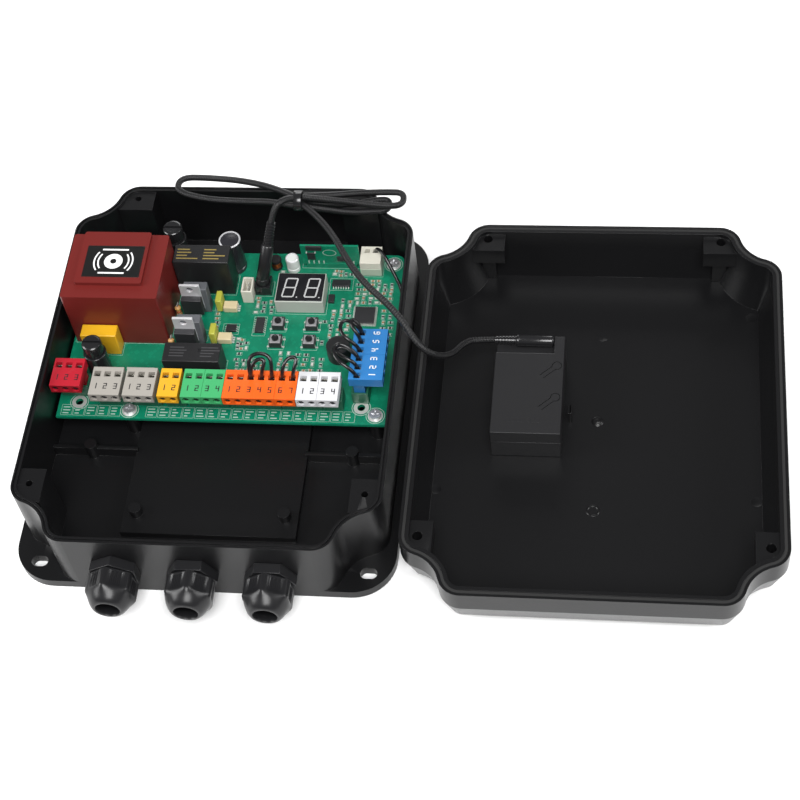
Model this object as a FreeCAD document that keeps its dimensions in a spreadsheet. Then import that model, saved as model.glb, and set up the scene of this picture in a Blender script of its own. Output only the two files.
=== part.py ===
import FreeCAD, Part
import math
import os
import re
import Sketcher

# Control unit for an automatic door or gate opener, with its lid lying beside it.
# Millimetres. Origin: middle of the case, on the plane that it stands on. +Z up,
# +Y towards the rear edge of the case, cable glands on the -Y wall, lid on the +X side.

V = FreeCAD.Vector
doc = FreeCAD.newDocument("door_control_unit")

# --------------------------------------------------------------------------- sizes

SIZES = {
    # case and lid outline
    "wall": 2.8, "floor_thick": 3.0, "case_high": 42.0, "side_gap": 1.2, "right_gap": 3.7,
    "front_space": 80.2, "rear_space": 20.7,
    "scoop_radius": 17.5, "scoop_in_x": 2.5, "scoop_in_y": 3.0, "lobe_radius": 10.5,
    "flange_out": 4.0, "flange_thick": 5.0, "flange_corner": 20.0,
    "slot_long": 8.0, "slot_wide": 5.5, "slot_in_x": 12.2, "slot_in_y": 10.2,
    "boss_front_in_x": 8.3, "boss_front_in_y": 30.5, "boss_rear_in_x": 28.7, "boss_rear_in_y": 7.6,
    "boss_drop": 1.0, "pilot_radius": 1.6, "pilot_deep": 20.0,
    "rim_line_in": 0.9, "rim_line_wide": 0.8, "rim_line_deep": 0.8,
    "platform_wide": 84.0, "platform_high": 4.0, "platform_in": 23.2,
    "post_radius": 3.0, "post_high": 9.0, "post_x": 35.7, "post_in": 34.0,
    "side_post_x": 64.0, "side_post_in": 69.0, "rib_thick": 2.0, "rib_high": 6.0,
    # lid
    "lid_high": 31.0, "lid_band": 12.0, "lid_skin": 2.5, "lid_rim": 4.6, "lid_gap": 7.2,
    "lid_forward": 13.3, "lid_shoulder_in": 4.0, "lid_face_in": 8.5, "lid_shoulder": 6.0,
    "lid_boss_drop": 2.2, "screw_radius": 2.3, "groove_in": 1.3, "groove_wide": 1.6,
    "groove_deep": 2.5, "seal_clear": 0.1, "seal_low": 0.2,
    # cable glands
    "gland_pitch": 36.0, "gland_up": 19.0, "hex_flats": 21.0, "hex_thick": 5.0,
    "thread_radius": 9.2, "hole_clear": 0.2, "shank_inside": 8.0, "nut_thread_radius": 7.6,
    "nut_thread_long": 9.0, "nut_hex_long": 9.5, "nut_long": 16.0, "running": 0.08,
    "gland_bore": 5.6, "seal_bore": 4.0, "seal_long": 7.0, "mouth_radius": 5.4,
    "locknut_flats": 22.0, "locknut_thick": 4.5, "nut_gap": 0.3, "dome_radius": 9.6,
    # circuit board
    "board_long": 103.5, "board_thick": 1.6, "board_under": 16.4, "board_corner": 4.0,
    "standoff_radius": 3.5, "board_hole": 1.7, "board_screw": 1.5, "screw_head": 2.8,
    "screw_in_x": 5.3, "screw_in_y": 6.0,
    "left_screw_x": 36.0, "left_screw_y": 4.8,
    # pluggable terminals
    "pitch": 5.0, "plug_deep": 16.3, "plug_block": 5.5, "plug_top": 20.0, "stem_deep": 5.3,
    "stem_in": 1.6, "header_up": 8.0, "header_wall": 1.0, "plug_clear": 0.35, "pocket_side": 3.2,
    "pocket_deep": 4.0, "contact_side": 2.0, "pin_side": 1.0,
    "row_front": -0.3, "red_front": 4.6,
    "edge_gap": 0.8, "gap_red": 5.0, "gap_grey": 1.5, "gap_yellow": 1.9, "gap_green": 1.3,
    "gap_colour": 0.1, "gap_blue": 3.7, "blue_margin": 0.7, "blue_front": 12.0,
    "jumper_radius": 0.9, "jumper_upright": 8.0,
    # parts on the board: place from the board's left front corner, then size
    "core_wide": 48.0, "core_long": 39.5, "core_high": 36.0, "core_x": 1.5, "core_y": 45.3,
    "plateau_wide": 33.5, "plateau_long": 32.0, "plateau_high": 2.0, "case_round": 1.2,
    "potting_wall": 2.0,
    "xcap_wide": 18.0, "xcap_long": 7.2, "xcap_high": 15.0, "xcap_x": 8.0, "xcap_y": 37.8,
    "fuse_radius": 5.6, "fuse_high": 19.0, "fuse_bore": 3.9, "cap_radius": 4.9, "cap_high": 8.0,
    "fuse_front_x": 19.0, "fuse_front_y": 25.5, "fuse_rear_x": 46.8, "fuse_rear_y": 97.6,
    "cartridge_radius": 2.6, "cartridge_long": 16.0, "cap_lift": 0.3,
    "relay_long": 28.0, "relay_wide": 11.4, "relay_high": 15.0, "relay_x": 51.5, "relay_y": 23.8,
    "tall_relay_high": 25.0, "tall_relay_x": 49.8, "tall_relay_y": 76.8,
    "tab_x": 54.8, "tab_front_y": 43.6, "tab_rear_y": 63.8, "tab_wide": 10.0, "tab_high": 22.5,
    "tab_thick": 1.3, "tab_hole": 1.8, "chip_thick": 4.4, "chip_low": 4.0, "chip_high": 14.5,
    "block_wide": 12.0, "block_deep": 5.2, "block_high": 18.0,
    "opto_wide": 6.8, "opto_long": 4.8, "opto_high": 3.6, "opto_x": 73.6, "opto_front_y": 45.6,
    "opto_rear_y": 65.2,
    "can_radius": 5.6, "can_high": 21.5, "can_x": 75.5, "can_y": 94.8,
    "small_can_radius": 3.3, "small_can_high": 9.0, "small_can_x": 105.5, "small_can_y": 93.9,
    "radio_x": 110.3, "radio_y": 95.6, "radio_wide": 29.5, "radio_high": 14.0, "radio_thick": 1.2,
    "radio_up": 2.0,
    "aerial_x": 140.5, "aerial_y": 90.0, "aerial_wide": 10.5, "aerial_long": 11.0, "aerial_high": 10.0,
    "sensor_x": 82.5, "sensor_y": 71.5, "sensor_wide": 5.5, "sensor_long": 9.5, "sensor_high": 9.0,
    "socket_x": 92.3, "socket_y": 80.5, "socket_side": 8.0, "socket_high": 6.0, "socket_bore": 3.4,
    "display_x": 100.3, "display_y": 65.8, "display_wide": 24.2, "display_long": 18.2,
    "display_high": 9.0,
    "key_left_x": 102.6, "key_right_x": 119.4, "key_front_y": 46.9, "key_rear_y": 57.7,
    "key_side": 6.0, "key_high": 3.6, "key_stem": 1.7, "key_top": 5.2, "key_foot": 2.2,
    "key_plate": 1.0, "key_floor": 0.3, "key_travel": 0.25,
    "buzzer_radius": 5.9, "buzzer_high": 9.0, "buzzer_x": 135.2, "buzzer_y": 40.2,
    "chip_x": 139.9, "chip_y": 59.4, "chip_side": 10.0, "chip_tall": 1.4,
    # wireless module in the lid
    "module_left_of_middle": 49.7, "module_front_of_middle": 13.7, "module_wide": 32.9, "module_long": 56.5,
    "module_high": 19.5, "module_cover_thick": 8.0, "module_wall": 1.6, "bay_wide": 28.0,
    "bay_long": 10.1, "bay_deep": 4.9, "module_lift": 0.1,
    # data cable
    "cable_radius": 1.6, "band_radius": 5.0, "band_wide": 4.0, "band_x": 27.0,
    "band_y": 86.0, "band_up": 54.0, "plug_radius": 3.2, "boot_tip": 2.3, "barrel_long": 19.0,
    "boot_long": 12.0, "cord_gap": 0.15,
    "wire_radius": 0.9,
}


def name_sizes():
    """Writes every driving size to a spreadsheet as a plain number with an alias."""
    sheet = doc.addObject("Spreadsheet::Sheet", "Sizes")
    for row, (alias, value) in enumerate(SIZES.items(), start=1):
        sheet.set(f"A{row}", alias)
        sheet.set(f"B{row}", str(value))
        sheet.setAlias(f"B{row}", alias)
    doc.recompute()
    return sheet


sizes = name_sizes()


def bound(expression):
    """Turns the bare names in an expression into references to the sheet."""
    def refer(match):
        word = match.group(0)
        return f"Sizes.{word}" if word in SIZES else word
    return re.sub(r"[a-z][a-z_]*", refer, str(expression))


def number(expression):
    """The present value of an expression, in millimetres."""
    return float(sizes.evalExpression(bound(expression)))


def bind(thing, **expressions):
    """Binds properties to expressions. x, y and z stand for the placement."""
    for key, expression in expressions.items():
        path = f"Placement.Base.{key}" if key in ("x", "y", "z") else key
        thing.setExpression(path, bound(expression))


# ------------------------------------------------------------ lengths worked out

BOARD_WIDE = ("(edge_gap + gap_red + gap_grey + gap_yellow + gap_green + 3 * gap_colour"
              " + gap_blue + blue_margin + plug_deep + 26 * pitch)")
CASE_WIDE = f"({BOARD_WIDE} + 2 * wall + side_gap + right_gap)"
CASE_LONG = "(board_long + 2 * wall + front_space + rear_space)"
HALF_WIDE = f"({CASE_WIDE} / 2)"
HALF_LONG = f"({CASE_LONG} / 2)"
BOARD_LEFT = f"(-{HALF_WIDE} + wall + side_gap)"
BOARD_RIGHT = f"({HALF_WIDE} - wall - right_gap)"
BOARD_FRONT = f"(-{HALF_LONG} + wall + front_space)"
BOARD_REAR = f"({BOARD_FRONT} + board_long)"
BOARD_TOP = "(board_under + board_thick)"
LID_X = f"({CASE_WIDE} + lid_gap)"
LID_Y = "(-lid_forward)"
FRONT_WALL = f"(-{HALF_LONG})"
PLUG_BOTTOM = f"({BOARD_TOP} + plug_top - plug_block)"


def on_board(x, y):
    """A place measured from the left front corner of the board."""
    return f"({BOARD_LEFT} + {x})", f"({BOARD_FRONT} + {y})"


# ------------------------------------------------------------------ plain solids

def box(name, size, corner):
    piece = doc.addObject("Part::Box", name)
    bind(piece, Length=size[0], Width=size[1], Height=size[2],
         x=corner[0], y=corner[1], z=corner[2])
    return piece


def cylinder(name, radius, tall, base, axis=None):
    piece = doc.addObject("Part::Cylinder", name)
    if axis is not None:
        piece.Placement.Rotation = FreeCAD.Rotation(V(0, 0, 1), axis)
    bind(piece, Radius=radius, Height=tall, x=base[0], y=base[1], z=base[2])
    return piece


def cone(name, radius, tip, tall, base, axis=None):
    piece = doc.addObject("Part::Cone", name)
    if axis is not None:
        piece.Placement.Rotation = FreeCAD.Rotation(V(0, 0, 1), axis)
    bind(piece, Radius1=radius, Radius2=tip, Height=tall, x=base[0], y=base[1], z=base[2])
    return piece


def hexagon(name, flats, tall, base, axis, turn=0.0):
    """Six-sided prism; turn is the angle of its flats about the axis, in degrees."""
    piece = doc.addObject("Part::Prism", name)
    piece.Polygon = 6
    aim = FreeCAD.Rotation(V(0, 0, 1), axis)
    piece.Placement.Rotation = aim.multiply(FreeCAD.Rotation(V(0, 0, 1), turn))
    bind(piece, Circumradius=f"{flats} / 2 / cos(30 deg)", Height=tall,
         x=base[0], y=base[1], z=base[2])
    return piece


def fuse(name, pieces):
    joined = doc.addObject("Part::MultiFuse", name)
    joined.Shapes = pieces
    return joined


def cut(name, base, tools):
    left = doc.addObject("Part::Cut", name)
    left.Base = base
    left.Tool = tools[0] if len(tools) == 1 else fuse(f"{name}_tools", tools)
    return left


def group(name, pieces):
    together = doc.addObject("Part::Compound", name)
    together.Links = pieces
    return together


nodes = []


def node(piece, label):
    """Marks a finished sub-part; its label names its file."""
    piece.Label = label
    nodes.append(piece)
    return piece


# -------------------------------------------------------------- sketched bodies

def new_body(name, x="0", y="0"):
    body = doc.addObject("PartDesign::Body", name)
    bind(body, x=x, y=y)
    return body


def new_sketch(body, name, height="0", plane="XY_Plane"):
    sketch = body.newObject("Sketcher::SketchObject", name)
    origin = [f for f in body.Origin.OriginFeatures if f.Role == plane][0]
    sketch.AttachmentSupport = (origin, [""])
    sketch.MapMode = "FlatFace"
    sketch.setExpression("AttachmentOffset.Base.z", bound(height))
    return sketch


def fix(sketch, kind, places, expression):
    """Adds a dimension and binds it; a zero length is laid on the axis instead."""
    index = sketch.addConstraint(Sketcher.Constraint(kind, *places, number(expression)))
    sketch.setExpression(f"Constraints[{index}]", bound(expression))


def add_arc(sketch, centre, radius, start, finish):
    """Adds the short arc from start to finish; gives its id and both end positions."""
    first = math.atan2(start.y - centre.y, start.x - centre.x)
    last = math.atan2(finish.y - centre.y, finish.x - centre.x)
    forward = (last - first) % (2 * math.pi) < math.pi
    low, high = (first, last) if forward else (last, first)
    circle = Part.Circle(centre, V(0, 0, 1), radius)
    arc = sketch.addGeometry(Part.ArcOfCircle(circle, low, low + (high - low) % (2 * math.pi)))
    return (arc, 1, 2) if forward else (arc, 2, 1)


def corner_arcs(sign_x, sign_y, wide, long, lobe, scoop, centre):
    """Lobe, scoop and lobe of one corner, in anticlockwise order."""
    reach = lobe + scoop
    side_y = centre.y - math.sqrt(reach ** 2 - (centre.x - wide + lobe) ** 2)
    end_x = centre.x - math.sqrt(reach ** 2 - (centre.y - long + lobe) ** 2)

    def place(x, y):
        return V(sign_x * x, sign_y * y)
    side = place(wide - lobe, side_y)
    end = place(end_x, long - lobe)
    hollow = place(centre.x, centre.y)
    first = side + (hollow - side) * (lobe / reach)
    second = end + (hollow - end) * (lobe / reach)
    arcs = [("lobe", side, lobe, place(wide, side_y), first),
            ("scoop", hollow, scoop, first, second),
            ("lobe", end, lobe, second, place(end_x, long))]
    if sign_x * sign_y < 0:
        arcs = [(kind, at, radius, b, a) for kind, at, radius, a, b in reversed(arcs)]
    return arcs


def add_outline(sketch, inset):
    """The scooped outline of case and lid, moved inwards by inset all round."""
    wide = number(f"{HALF_WIDE} - {inset}")
    long = number(f"{HALF_LONG} - {inset}")
    lobe = number(f"lobe_radius - {inset}")
    scoop = number(f"scoop_radius + {inset}")
    centre = V(number(f"{HALF_WIDE} - scoop_in_x"), number(f"{HALF_LONG} - scoop_in_y"))
    chain = []
    scoops = []
    radii = []
    corners = [(1, 1), (-1, 1), (-1, -1), (1, -1)]
    arcs = [corner_arcs(a, b, wide, long, lobe, scoop, centre) for a, b in corners]
    for index, (sign_x, sign_y) in enumerate(corners):
        for kind, at, radius, start, finish in arcs[index]:
            item = add_arc(sketch, at, radius, start, finish)
            chain.append(item)
            radii.append((item[0], kind))
            if kind == "scoop":
                scoops.append((item[0], sign_x, sign_y))
        start = arcs[index][-1][4]
        finish = arcs[(index + 1) % 4][0][3]
        line = sketch.addGeometry(Part.LineSegment(start, finish))
        chain.append((line, 1, 2))
    for one, other in zip(chain, chain[1:] + chain[:1]):
        sketch.addConstraint(Sketcher.Constraint("Tangent", one[0], one[2], other[0], other[1]))
    for arc, kind in radii:
        fix(sketch, "Radius", (arc,),
            f"lobe_radius - {inset}" if kind == "lobe" else f"scoop_radius + {inset}")
    for arc, sign_x, sign_y in scoops:
        fix(sketch, "DistanceX", (-1, 1, arc, 3), f"{sign_x} * ({HALF_WIDE} - scoop_in_x)")
        fix(sketch, "DistanceY", (-1, 1, arc, 3), f"{sign_y} * ({HALF_LONG} - scoop_in_y)")
    rear, left, front, right = (chain[i][0] for i in (3, 7, 11, 15))
    for line, sign in ((rear, 1), (front, -1)):
        sketch.addConstraint(Sketcher.Constraint("Horizontal", line))
        fix(sketch, "DistanceY", (-1, 1, line, 1), f"{sign} * ({HALF_LONG} - {inset})")
    for line, sign in ((left, -1), (right, 1)):
        sketch.addConstraint(Sketcher.Constraint("Vertical", line))
        fix(sketch, "DistanceX", (-1, 1, line, 1), f"{sign} * ({HALF_WIDE} - {inset})")


def add_polygon(sketch, corners):
    """A closed polygon; each corner is a pair of expressions from the origin."""
    places = [V(number(x), number(y)) for x, y in corners]
    lines = [sketch.addGeometry(Part.LineSegment(a, b))
             for a, b in zip(places, places[1:] + places[:1])]
    for one, other in zip(lines, lines[1:] + lines[:1]):
        sketch.addConstraint(Sketcher.Constraint("Coincident", one, 2, other, 1))
    for line, (x, y) in zip(lines, corners):
        fix(sketch, "DistanceX", (-1, 1, line, 1), x)
        fix(sketch, "DistanceY", (-1, 1, line, 1), y)


def add_circle(sketch, x, y, radius):
    centre = V(number(x), number(y))
    ring = sketch.addGeometry(Part.Circle(centre, V(0, 0, 1), number(radius)))
    fix(sketch, "Radius", (ring,), radius)
    fix(sketch, "DistanceX", (-1, 1, ring, 3), x)
    fix(sketch, "DistanceY", (-1, 1, ring, 3), y)


def add_slot(sketch, x, y, long, wide):
    """A slot along X, centred on x, y."""
    radius = number(f"{wide} / 2")
    reach = number(f"({long} - {wide}) / 2")
    middle = V(number(x), number(y))
    right, left = middle + V(reach, 0), middle - V(reach, 0)
    circles = [Part.Circle(at, V(0, 0, 1), radius) for at in (right, left)]
    ends = [sketch.addGeometry(Part.ArcOfCircle(circles[0], -math.pi / 2, math.pi / 2)),
            sketch.addGeometry(Part.ArcOfCircle(circles[1], math.pi / 2, 3 * math.pi / 2))]
    up = V(0, radius)
    sides = [sketch.addGeometry(Part.LineSegment(right + up, left + up)),
             sketch.addGeometry(Part.LineSegment(left - up, right - up))]
    for one, a, other, b in ((ends[0], 2, sides[0], 1), (sides[0], 2, ends[1], 1),
                             (ends[1], 2, sides[1], 1), (sides[1], 2, ends[0], 1)):
        sketch.addConstraint(Sketcher.Constraint("Tangent", one, a, other, b))
    fix(sketch, "Radius", (ends[0],), f"{wide} / 2")
    fix(sketch, "DistanceX", (-1, 1, ends[0], 3), f"{x} + ({long} - {wide}) / 2")
    fix(sketch, "DistanceY", (-1, 1, ends[0], 3), y)
    fix(sketch, "DistanceX", (-1, 1, ends[1], 3), f"{x} - ({long} - {wide}) / 2")
    fix(sketch, "DistanceY", (-1, 1, ends[1], 3), y)


def pad(body, sketch, long):
    feature = body.newObject("PartDesign::Pad", f"{sketch.Name}_pad")
    feature.Profile = sketch
    bind(feature, Length=long)
    doc.recompute()
    return feature


def pocket(body, sketch, deep):
    """Cuts downwards from the sketch."""
    before = body.Shape.Volume
    feature = body.newObject("PartDesign::Pocket", f"{sketch.Name}_pocket")
    feature.Profile = sketch
    bind(feature, Length=deep)
    doc.recompute()
    if not body.Shape.Volume < before:
        raise RuntimeError(f"{feature.Name} cuts nothing")
    return feature


def loft(body, kind, first, second):
    before = body.Shape.Volume if body.Shape and not body.Shape.isNull() else 0.0
    feature = body.newObject(f"PartDesign::{kind}Loft", f"{first.Name}_loft")
    feature.Profile = first
    feature.Sections = [second]
    feature.Ruled = True
    doc.recompute()
    if body.Shape.Volume == before:
        raise RuntimeError(f"{feature.Name} changes nothing")
    return feature


def edges_where(feature, test):
    return [f"Edge{i}" for i, edge in enumerate(feature.Shape.Edges, start=1) if test(edge)]


def is_upright(edge):
    return (len(edge.Vertexes) == 2
            and abs(edge.Vertexes[0].X - edge.Vertexes[1].X) < 1e-6
            and abs(edge.Vertexes[0].Y - edge.Vertexes[1].Y) < 1e-6)


def round_edges(body, name, base, edges, radius):
    feature = body.newObject("PartDesign::Fillet", name)
    feature.Base = (base, edges)
    bind(feature, Radius=radius)
    doc.recompute()
    return feature


# ------------------------------------------------------------------- the case

def boss_corners(side, end):
    """Filled lobe that carries a lid screw: side is -1 or 1, end is front or rear."""
    if end == "front":
        xs = ["lobe_radius + 4.5", "1.5", "1.5", "lobe_radius / 2", "lobe_radius + 4.5"]
        ys = ["boss_front_in_y + 8", "boss_front_in_y + 8", "boss_front_in_y - 3.5",
              "boss_front_in_y - 8.5", "boss_front_in_y - 10"]
        return [(f"{side} * ({HALF_WIDE} - ({x}))", f"-{HALF_LONG} + {y}")
                for x, y in zip(xs, ys)]
    xs = ["boss_rear_in_x + 8.5", "boss_rear_in_x + 8.5", "boss_rear_in_x - 3.5",
          "boss_rear_in_x - 8", "boss_rear_in_x - 9.5"]
    ys = ["lobe_radius + 4.5", "1.5", "1.5", "lobe_radius / 2", "lobe_radius + 4.5"]
    return [(f"{side} * ({HALF_WIDE} - ({x}))", f"{HALF_LONG} - ({y})")
            for x, y in zip(xs, ys)]


def boss_places():
    """Centres of the four lid screws."""
    return [(f"{side} * ({HALF_WIDE} - boss_front_in_x)", f"-{HALF_LONG} + boss_front_in_y")
            for side in (-1, 1)] + [
            (f"{side} * ({HALF_WIDE} - boss_rear_in_x)", f"{HALF_LONG} - boss_rear_in_y")
            for side in (-1, 1)]


def board_screw_places():
    """Centres of the four board screws."""
    right = f"{BOARD_RIGHT} - screw_in_x"
    return [(right, f"{BOARD_REAR} - screw_in_y"), (right, f"{BOARD_FRONT} + screw_in_x"),
            (f"{BOARD_LEFT} + left_screw_x", f"{BOARD_FRONT} + left_screw_y"),
            (f"{BOARD_LEFT} + screw_in_y", f"{BOARD_REAR} - screw_in_y")]


def make_case():
    body = new_body("base_shell_body")
    plate = new_sketch(body, "flange_outline")
    out = f"({HALF_WIDE} + flange_out)"
    add_polygon(plate, [(f"-{out}", f"-{HALF_LONG}"), (out, f"-{HALF_LONG}"),
                        (out, HALF_LONG), (f"-{out}", HALF_LONG)])
    flange = pad(body, plate, "flange_thick")
    round_edges(body, "flange_corners", flange, edges_where(flange, is_upright), "flange_corner")
    walls = new_sketch(body, "wall_outline")
    add_outline(walls, "0")
    pad(body, walls, "case_high")
    hollow = new_sketch(body, "cavity_outline", "case_high")
    add_outline(hollow, "wall")
    pocket(body, hollow, "case_high - floor_thick")
    for side in (-1, 1):
        for end in ("front", "rear"):
            name = f"boss_{end}_{'left' if side < 0 else 'right'}"
            boss = new_sketch(body, name, "floor_thick / 2")
            add_polygon(boss, boss_corners(side, end))
            pad(body, boss, "case_high - boss_drop - floor_thick / 2")
    platform = new_sketch(body, "platform_outline", "floor_thick / 2")
    front = f"(-{HALF_LONG} + wall + platform_in)"
    rear = f"({HALF_LONG} - wall - platform_in)"
    half = "(platform_wide / 2)"
    add_polygon(platform, [(f"-{half}", front), (half, front), (half, rear), (f"-{half}", rear)])
    pad(body, platform, "platform_high + floor_thick / 2")
    ribs_y = f"(-{HALF_LONG} + wall + side_post_in)"
    for side, word in ((-1, "left"), (1, "right")):
        rib = new_sketch(body, f"rib_{word}", "floor_thick / 2")
        near, far = f"{side} * ({half} - 1)", f"{side} * ({HALF_WIDE} - wall / 2)"
        low, high = f"{ribs_y} - rib_thick / 2", f"{ribs_y} + rib_thick / 2"
        add_polygon(rib, [(near, low), (far, low), (far, high), (near, high)])
        pad(body, rib, "rib_high + floor_thick / 2")
    posts = new_sketch(body, "post_outline", "floor_thick / 2")
    posts_y = f"(-{HALF_LONG} + wall + post_in)"
    for side in (-1, 1):
        add_circle(posts, f"{side} * post_x", posts_y, "post_radius")
        add_circle(posts, f"{side} * side_post_x", ribs_y, "post_radius")
    pad(body, posts, "post_high + floor_thick / 2")
    standoffs = new_sketch(body, "standoff_outline", "floor_thick / 2")
    for x, y in board_screw_places():
        add_circle(standoffs, x, y, "standoff_radius")
    pad(body, standoffs, "board_under - floor_thick / 2")
    threads = new_sketch(body, "standoff_holes", "board_under")
    for x, y in board_screw_places():
        add_circle(threads, x, y, "board_screw + running")
    pocket(body, threads, "board_under - floor_thick")
    pilots = new_sketch(body, "pilot_holes", "case_high")
    for x, y in boss_places():
        add_circle(pilots, x, y, "pilot_radius")
    pocket(body, pilots, "pilot_deep")
    ring = new_sketch(body, "rim_line", "case_high")
    add_outline(ring, "rim_line_in")
    add_outline(ring, "(rim_line_in + rim_line_wide)")
    pocket(body, ring, "rim_line_deep")
    slots = new_sketch(body, "ear_slots", "flange_thick")
    for side in (-1, 1):
        for end in (-1, 1):
            add_slot(slots, f"{side} * ({HALF_WIDE} + flange_out - slot_in_x)",
                     f"{end} * ({HALF_LONG} - slot_in_y)", "slot_long", "slot_wide")
    pocket(body, slots, "flange_thick")
    glands = new_sketch(body, "gland_holes", "0", "XZ_Plane")
    for step in (-1, 0, 1):
        add_circle(glands, f"{step} * gland_pitch", "gland_up", "thread_radius + hole_clear")
    glands.setExpression("AttachmentOffset.Base.z", bound(f"{HALF_LONG}"))
    pocket(body, glands, "wall + 1")
    node(body, "base_shell")


def make_lid():
    body = new_body("lid_shell_body", LID_X, LID_Y)
    levels = [("face", "0", "lid_face_in"), ("shoulder", "lid_shoulder", "lid_shoulder_in"),
              ("band", "lid_high - lid_band", "0")]
    outside = []
    for word, height, inset in levels:
        sketch = new_sketch(body, f"lid_{word}_outline", height)
        add_outline(sketch, inset)
        outside.append(sketch)
    loft(body, "Additive", outside[0], outside[1])
    again = new_sketch(body, "lid_shoulder_again", "lid_shoulder")
    add_outline(again, "lid_shoulder_in")
    loft(body, "Additive", again, outside[2])
    band = new_sketch(body, "lid_band_again", "lid_high - lid_band")
    add_outline(band, "0")
    pad(body, band, "lid_band")
    rim = new_sketch(body, "lid_cavity_rim", "lid_high")
    add_outline(rim, "lid_rim")
    pocket(body, rim, "lid_band")
    upper = new_sketch(body, "lid_cavity_upper", "lid_high - lid_band")
    add_outline(upper, "lid_rim")
    lower = new_sketch(body, "lid_cavity_lower", "lid_skin")
    add_outline(lower, "(lid_face_in + 1)")
    loft(body, "Subtractive", upper, lower)
    for side in (-1, 1):
        for end in ("front", "rear"):
            name = f"lid_boss_{end}_{'left' if side < 0 else 'right'}"
            boss = new_sketch(body, name, "lid_high - lid_band")
            add_polygon(boss, boss_corners(side, end))
            pad(body, boss, "lid_band - lid_boss_drop")
    holes = new_sketch(body, "lid_screw_holes", "lid_high")
    for x, y in boss_places():
        add_circle(holes, x, y, "screw_radius")
    pocket(body, holes, "lid_high")
    groove = new_sketch(body, "seal_groove", "lid_high")
    add_outline(groove, "groove_in")
    add_outline(groove, "(groove_in + groove_wide)")
    pocket(body, groove, "groove_deep")
    node(body, "lid_shell")

    seal = new_body("lid_seal_body", LID_X, LID_Y)
    ring = new_sketch(seal, "seal_outline", "lid_high - groove_deep + seal_clear")
    add_outline(ring, "(groove_in + seal_clear)")
    add_outline(ring, "(groove_in + groove_wide - seal_clear)")
    pad(seal, ring, "groove_deep - seal_clear - seal_low")
    node(seal, "lid_seal")


# ---------------------------------------------------------------- cable glands

def make_glands():
    out = V(0, -1, 0)
    wall_y = FRONT_WALL
    bodies = []
    locknuts = []
    turns = (30.0, 0.0, 0.0)
    nut_turns = (8.0, -6.0, 4.0)
    for index, step in enumerate((-1, 0, 1)):
        x = f"{step} * gland_pitch"
        up = "gland_up"
        tag = f"gland_{index + 1}"
        flat = hexagon(f"{tag}_hex", "hex_flats", "hex_thick", (x, wall_y, up), out, turns[index])
        shank = cylinder(f"{tag}_shank", "thread_radius", "wall + shank_inside",
                         (x, f"{wall_y} + wall + shank_inside", up), out)
        nose = cylinder(f"{tag}_nose", "nut_thread_radius", "nut_thread_long",
                        (x, f"{wall_y} - hex_thick", up), out)
        bore = cylinder(f"{tag}_bore", "gland_bore",
                        "wall + shank_inside + hex_thick + nut_thread_long + 2",
                        (x, f"{wall_y} + wall + shank_inside + 1", up), out)
        bodies.append(cut(f"{tag}_body", fuse(f"{tag}_solid", [flat, shank, nose]), [bore]))
        locknut = hexagon(f"{tag}_locknut_hex", "locknut_flats", "locknut_thick",
                          (x, f"{wall_y} + wall + locknut_thick", up), out, turns[index])
        hole = cylinder(f"{tag}_locknut_hole", "thread_radius + running", "locknut_thick + 2",
                        (x, f"{wall_y} + wall + locknut_thick + 1", up), out)
        locknuts.append(cut(f"{tag}_locknut", locknut, [hole]))
        start = f"({wall_y} - hex_thick - nut_gap)"
        outer = hexagon(f"{tag}_nut_hex", "hex_flats", "nut_hex_long", (x, start, up), out,
                        nut_turns[index])
        dome = cone(f"{tag}_dome", "dome_radius", "dome_radius - 2.6", "nut_long - nut_hex_long",
                    (x, f"{start} - nut_hex_long", up), out)
        thread = cylinder(f"{tag}_nut_thread", "nut_thread_radius + running",
                          "nut_thread_long + 1.0", (x, f"{start} + 0.5", up), out)
        seat = cone(f"{tag}_nut_seat", "nut_thread_radius + running", "mouth_radius",
                    "nut_long - nut_thread_long - 0.5 - 2.0",
                    (x, f"{start} - nut_thread_long - 0.5", up), out)
        mouth = cylinder(f"{tag}_mouth", "mouth_radius", "nut_long + 2",
                         (x, f"{start} + 1", up), out)
        nut = cut(f"{tag}_nut", fuse(f"{tag}_nut_solid", [outer, dome]), [thread, seat, mouth])
        node(nut, f"dome_nut_{index + 1}")
        ring = cylinder(f"{tag}_seal_ring", "gland_bore - running", "seal_long",
                        (x, f"{wall_y} - hex_thick - nut_thread_long + seal_long", up), out)
        eye = cylinder(f"{tag}_seal_eye", "seal_bore", "seal_long + 2",
                       (x, f"{wall_y} - hex_thick - nut_thread_long + seal_long + 1", up), out)
        node(cut(f"{tag}_seal", ring, [eye]), f"seal_insert_{index + 1}")
    node(group("gland_body_group", bodies), "gland_bodies")
    node(group("locknut_group", locknuts), "gland_locknuts")


# --------------------------------------------------------------- circuit board

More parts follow.
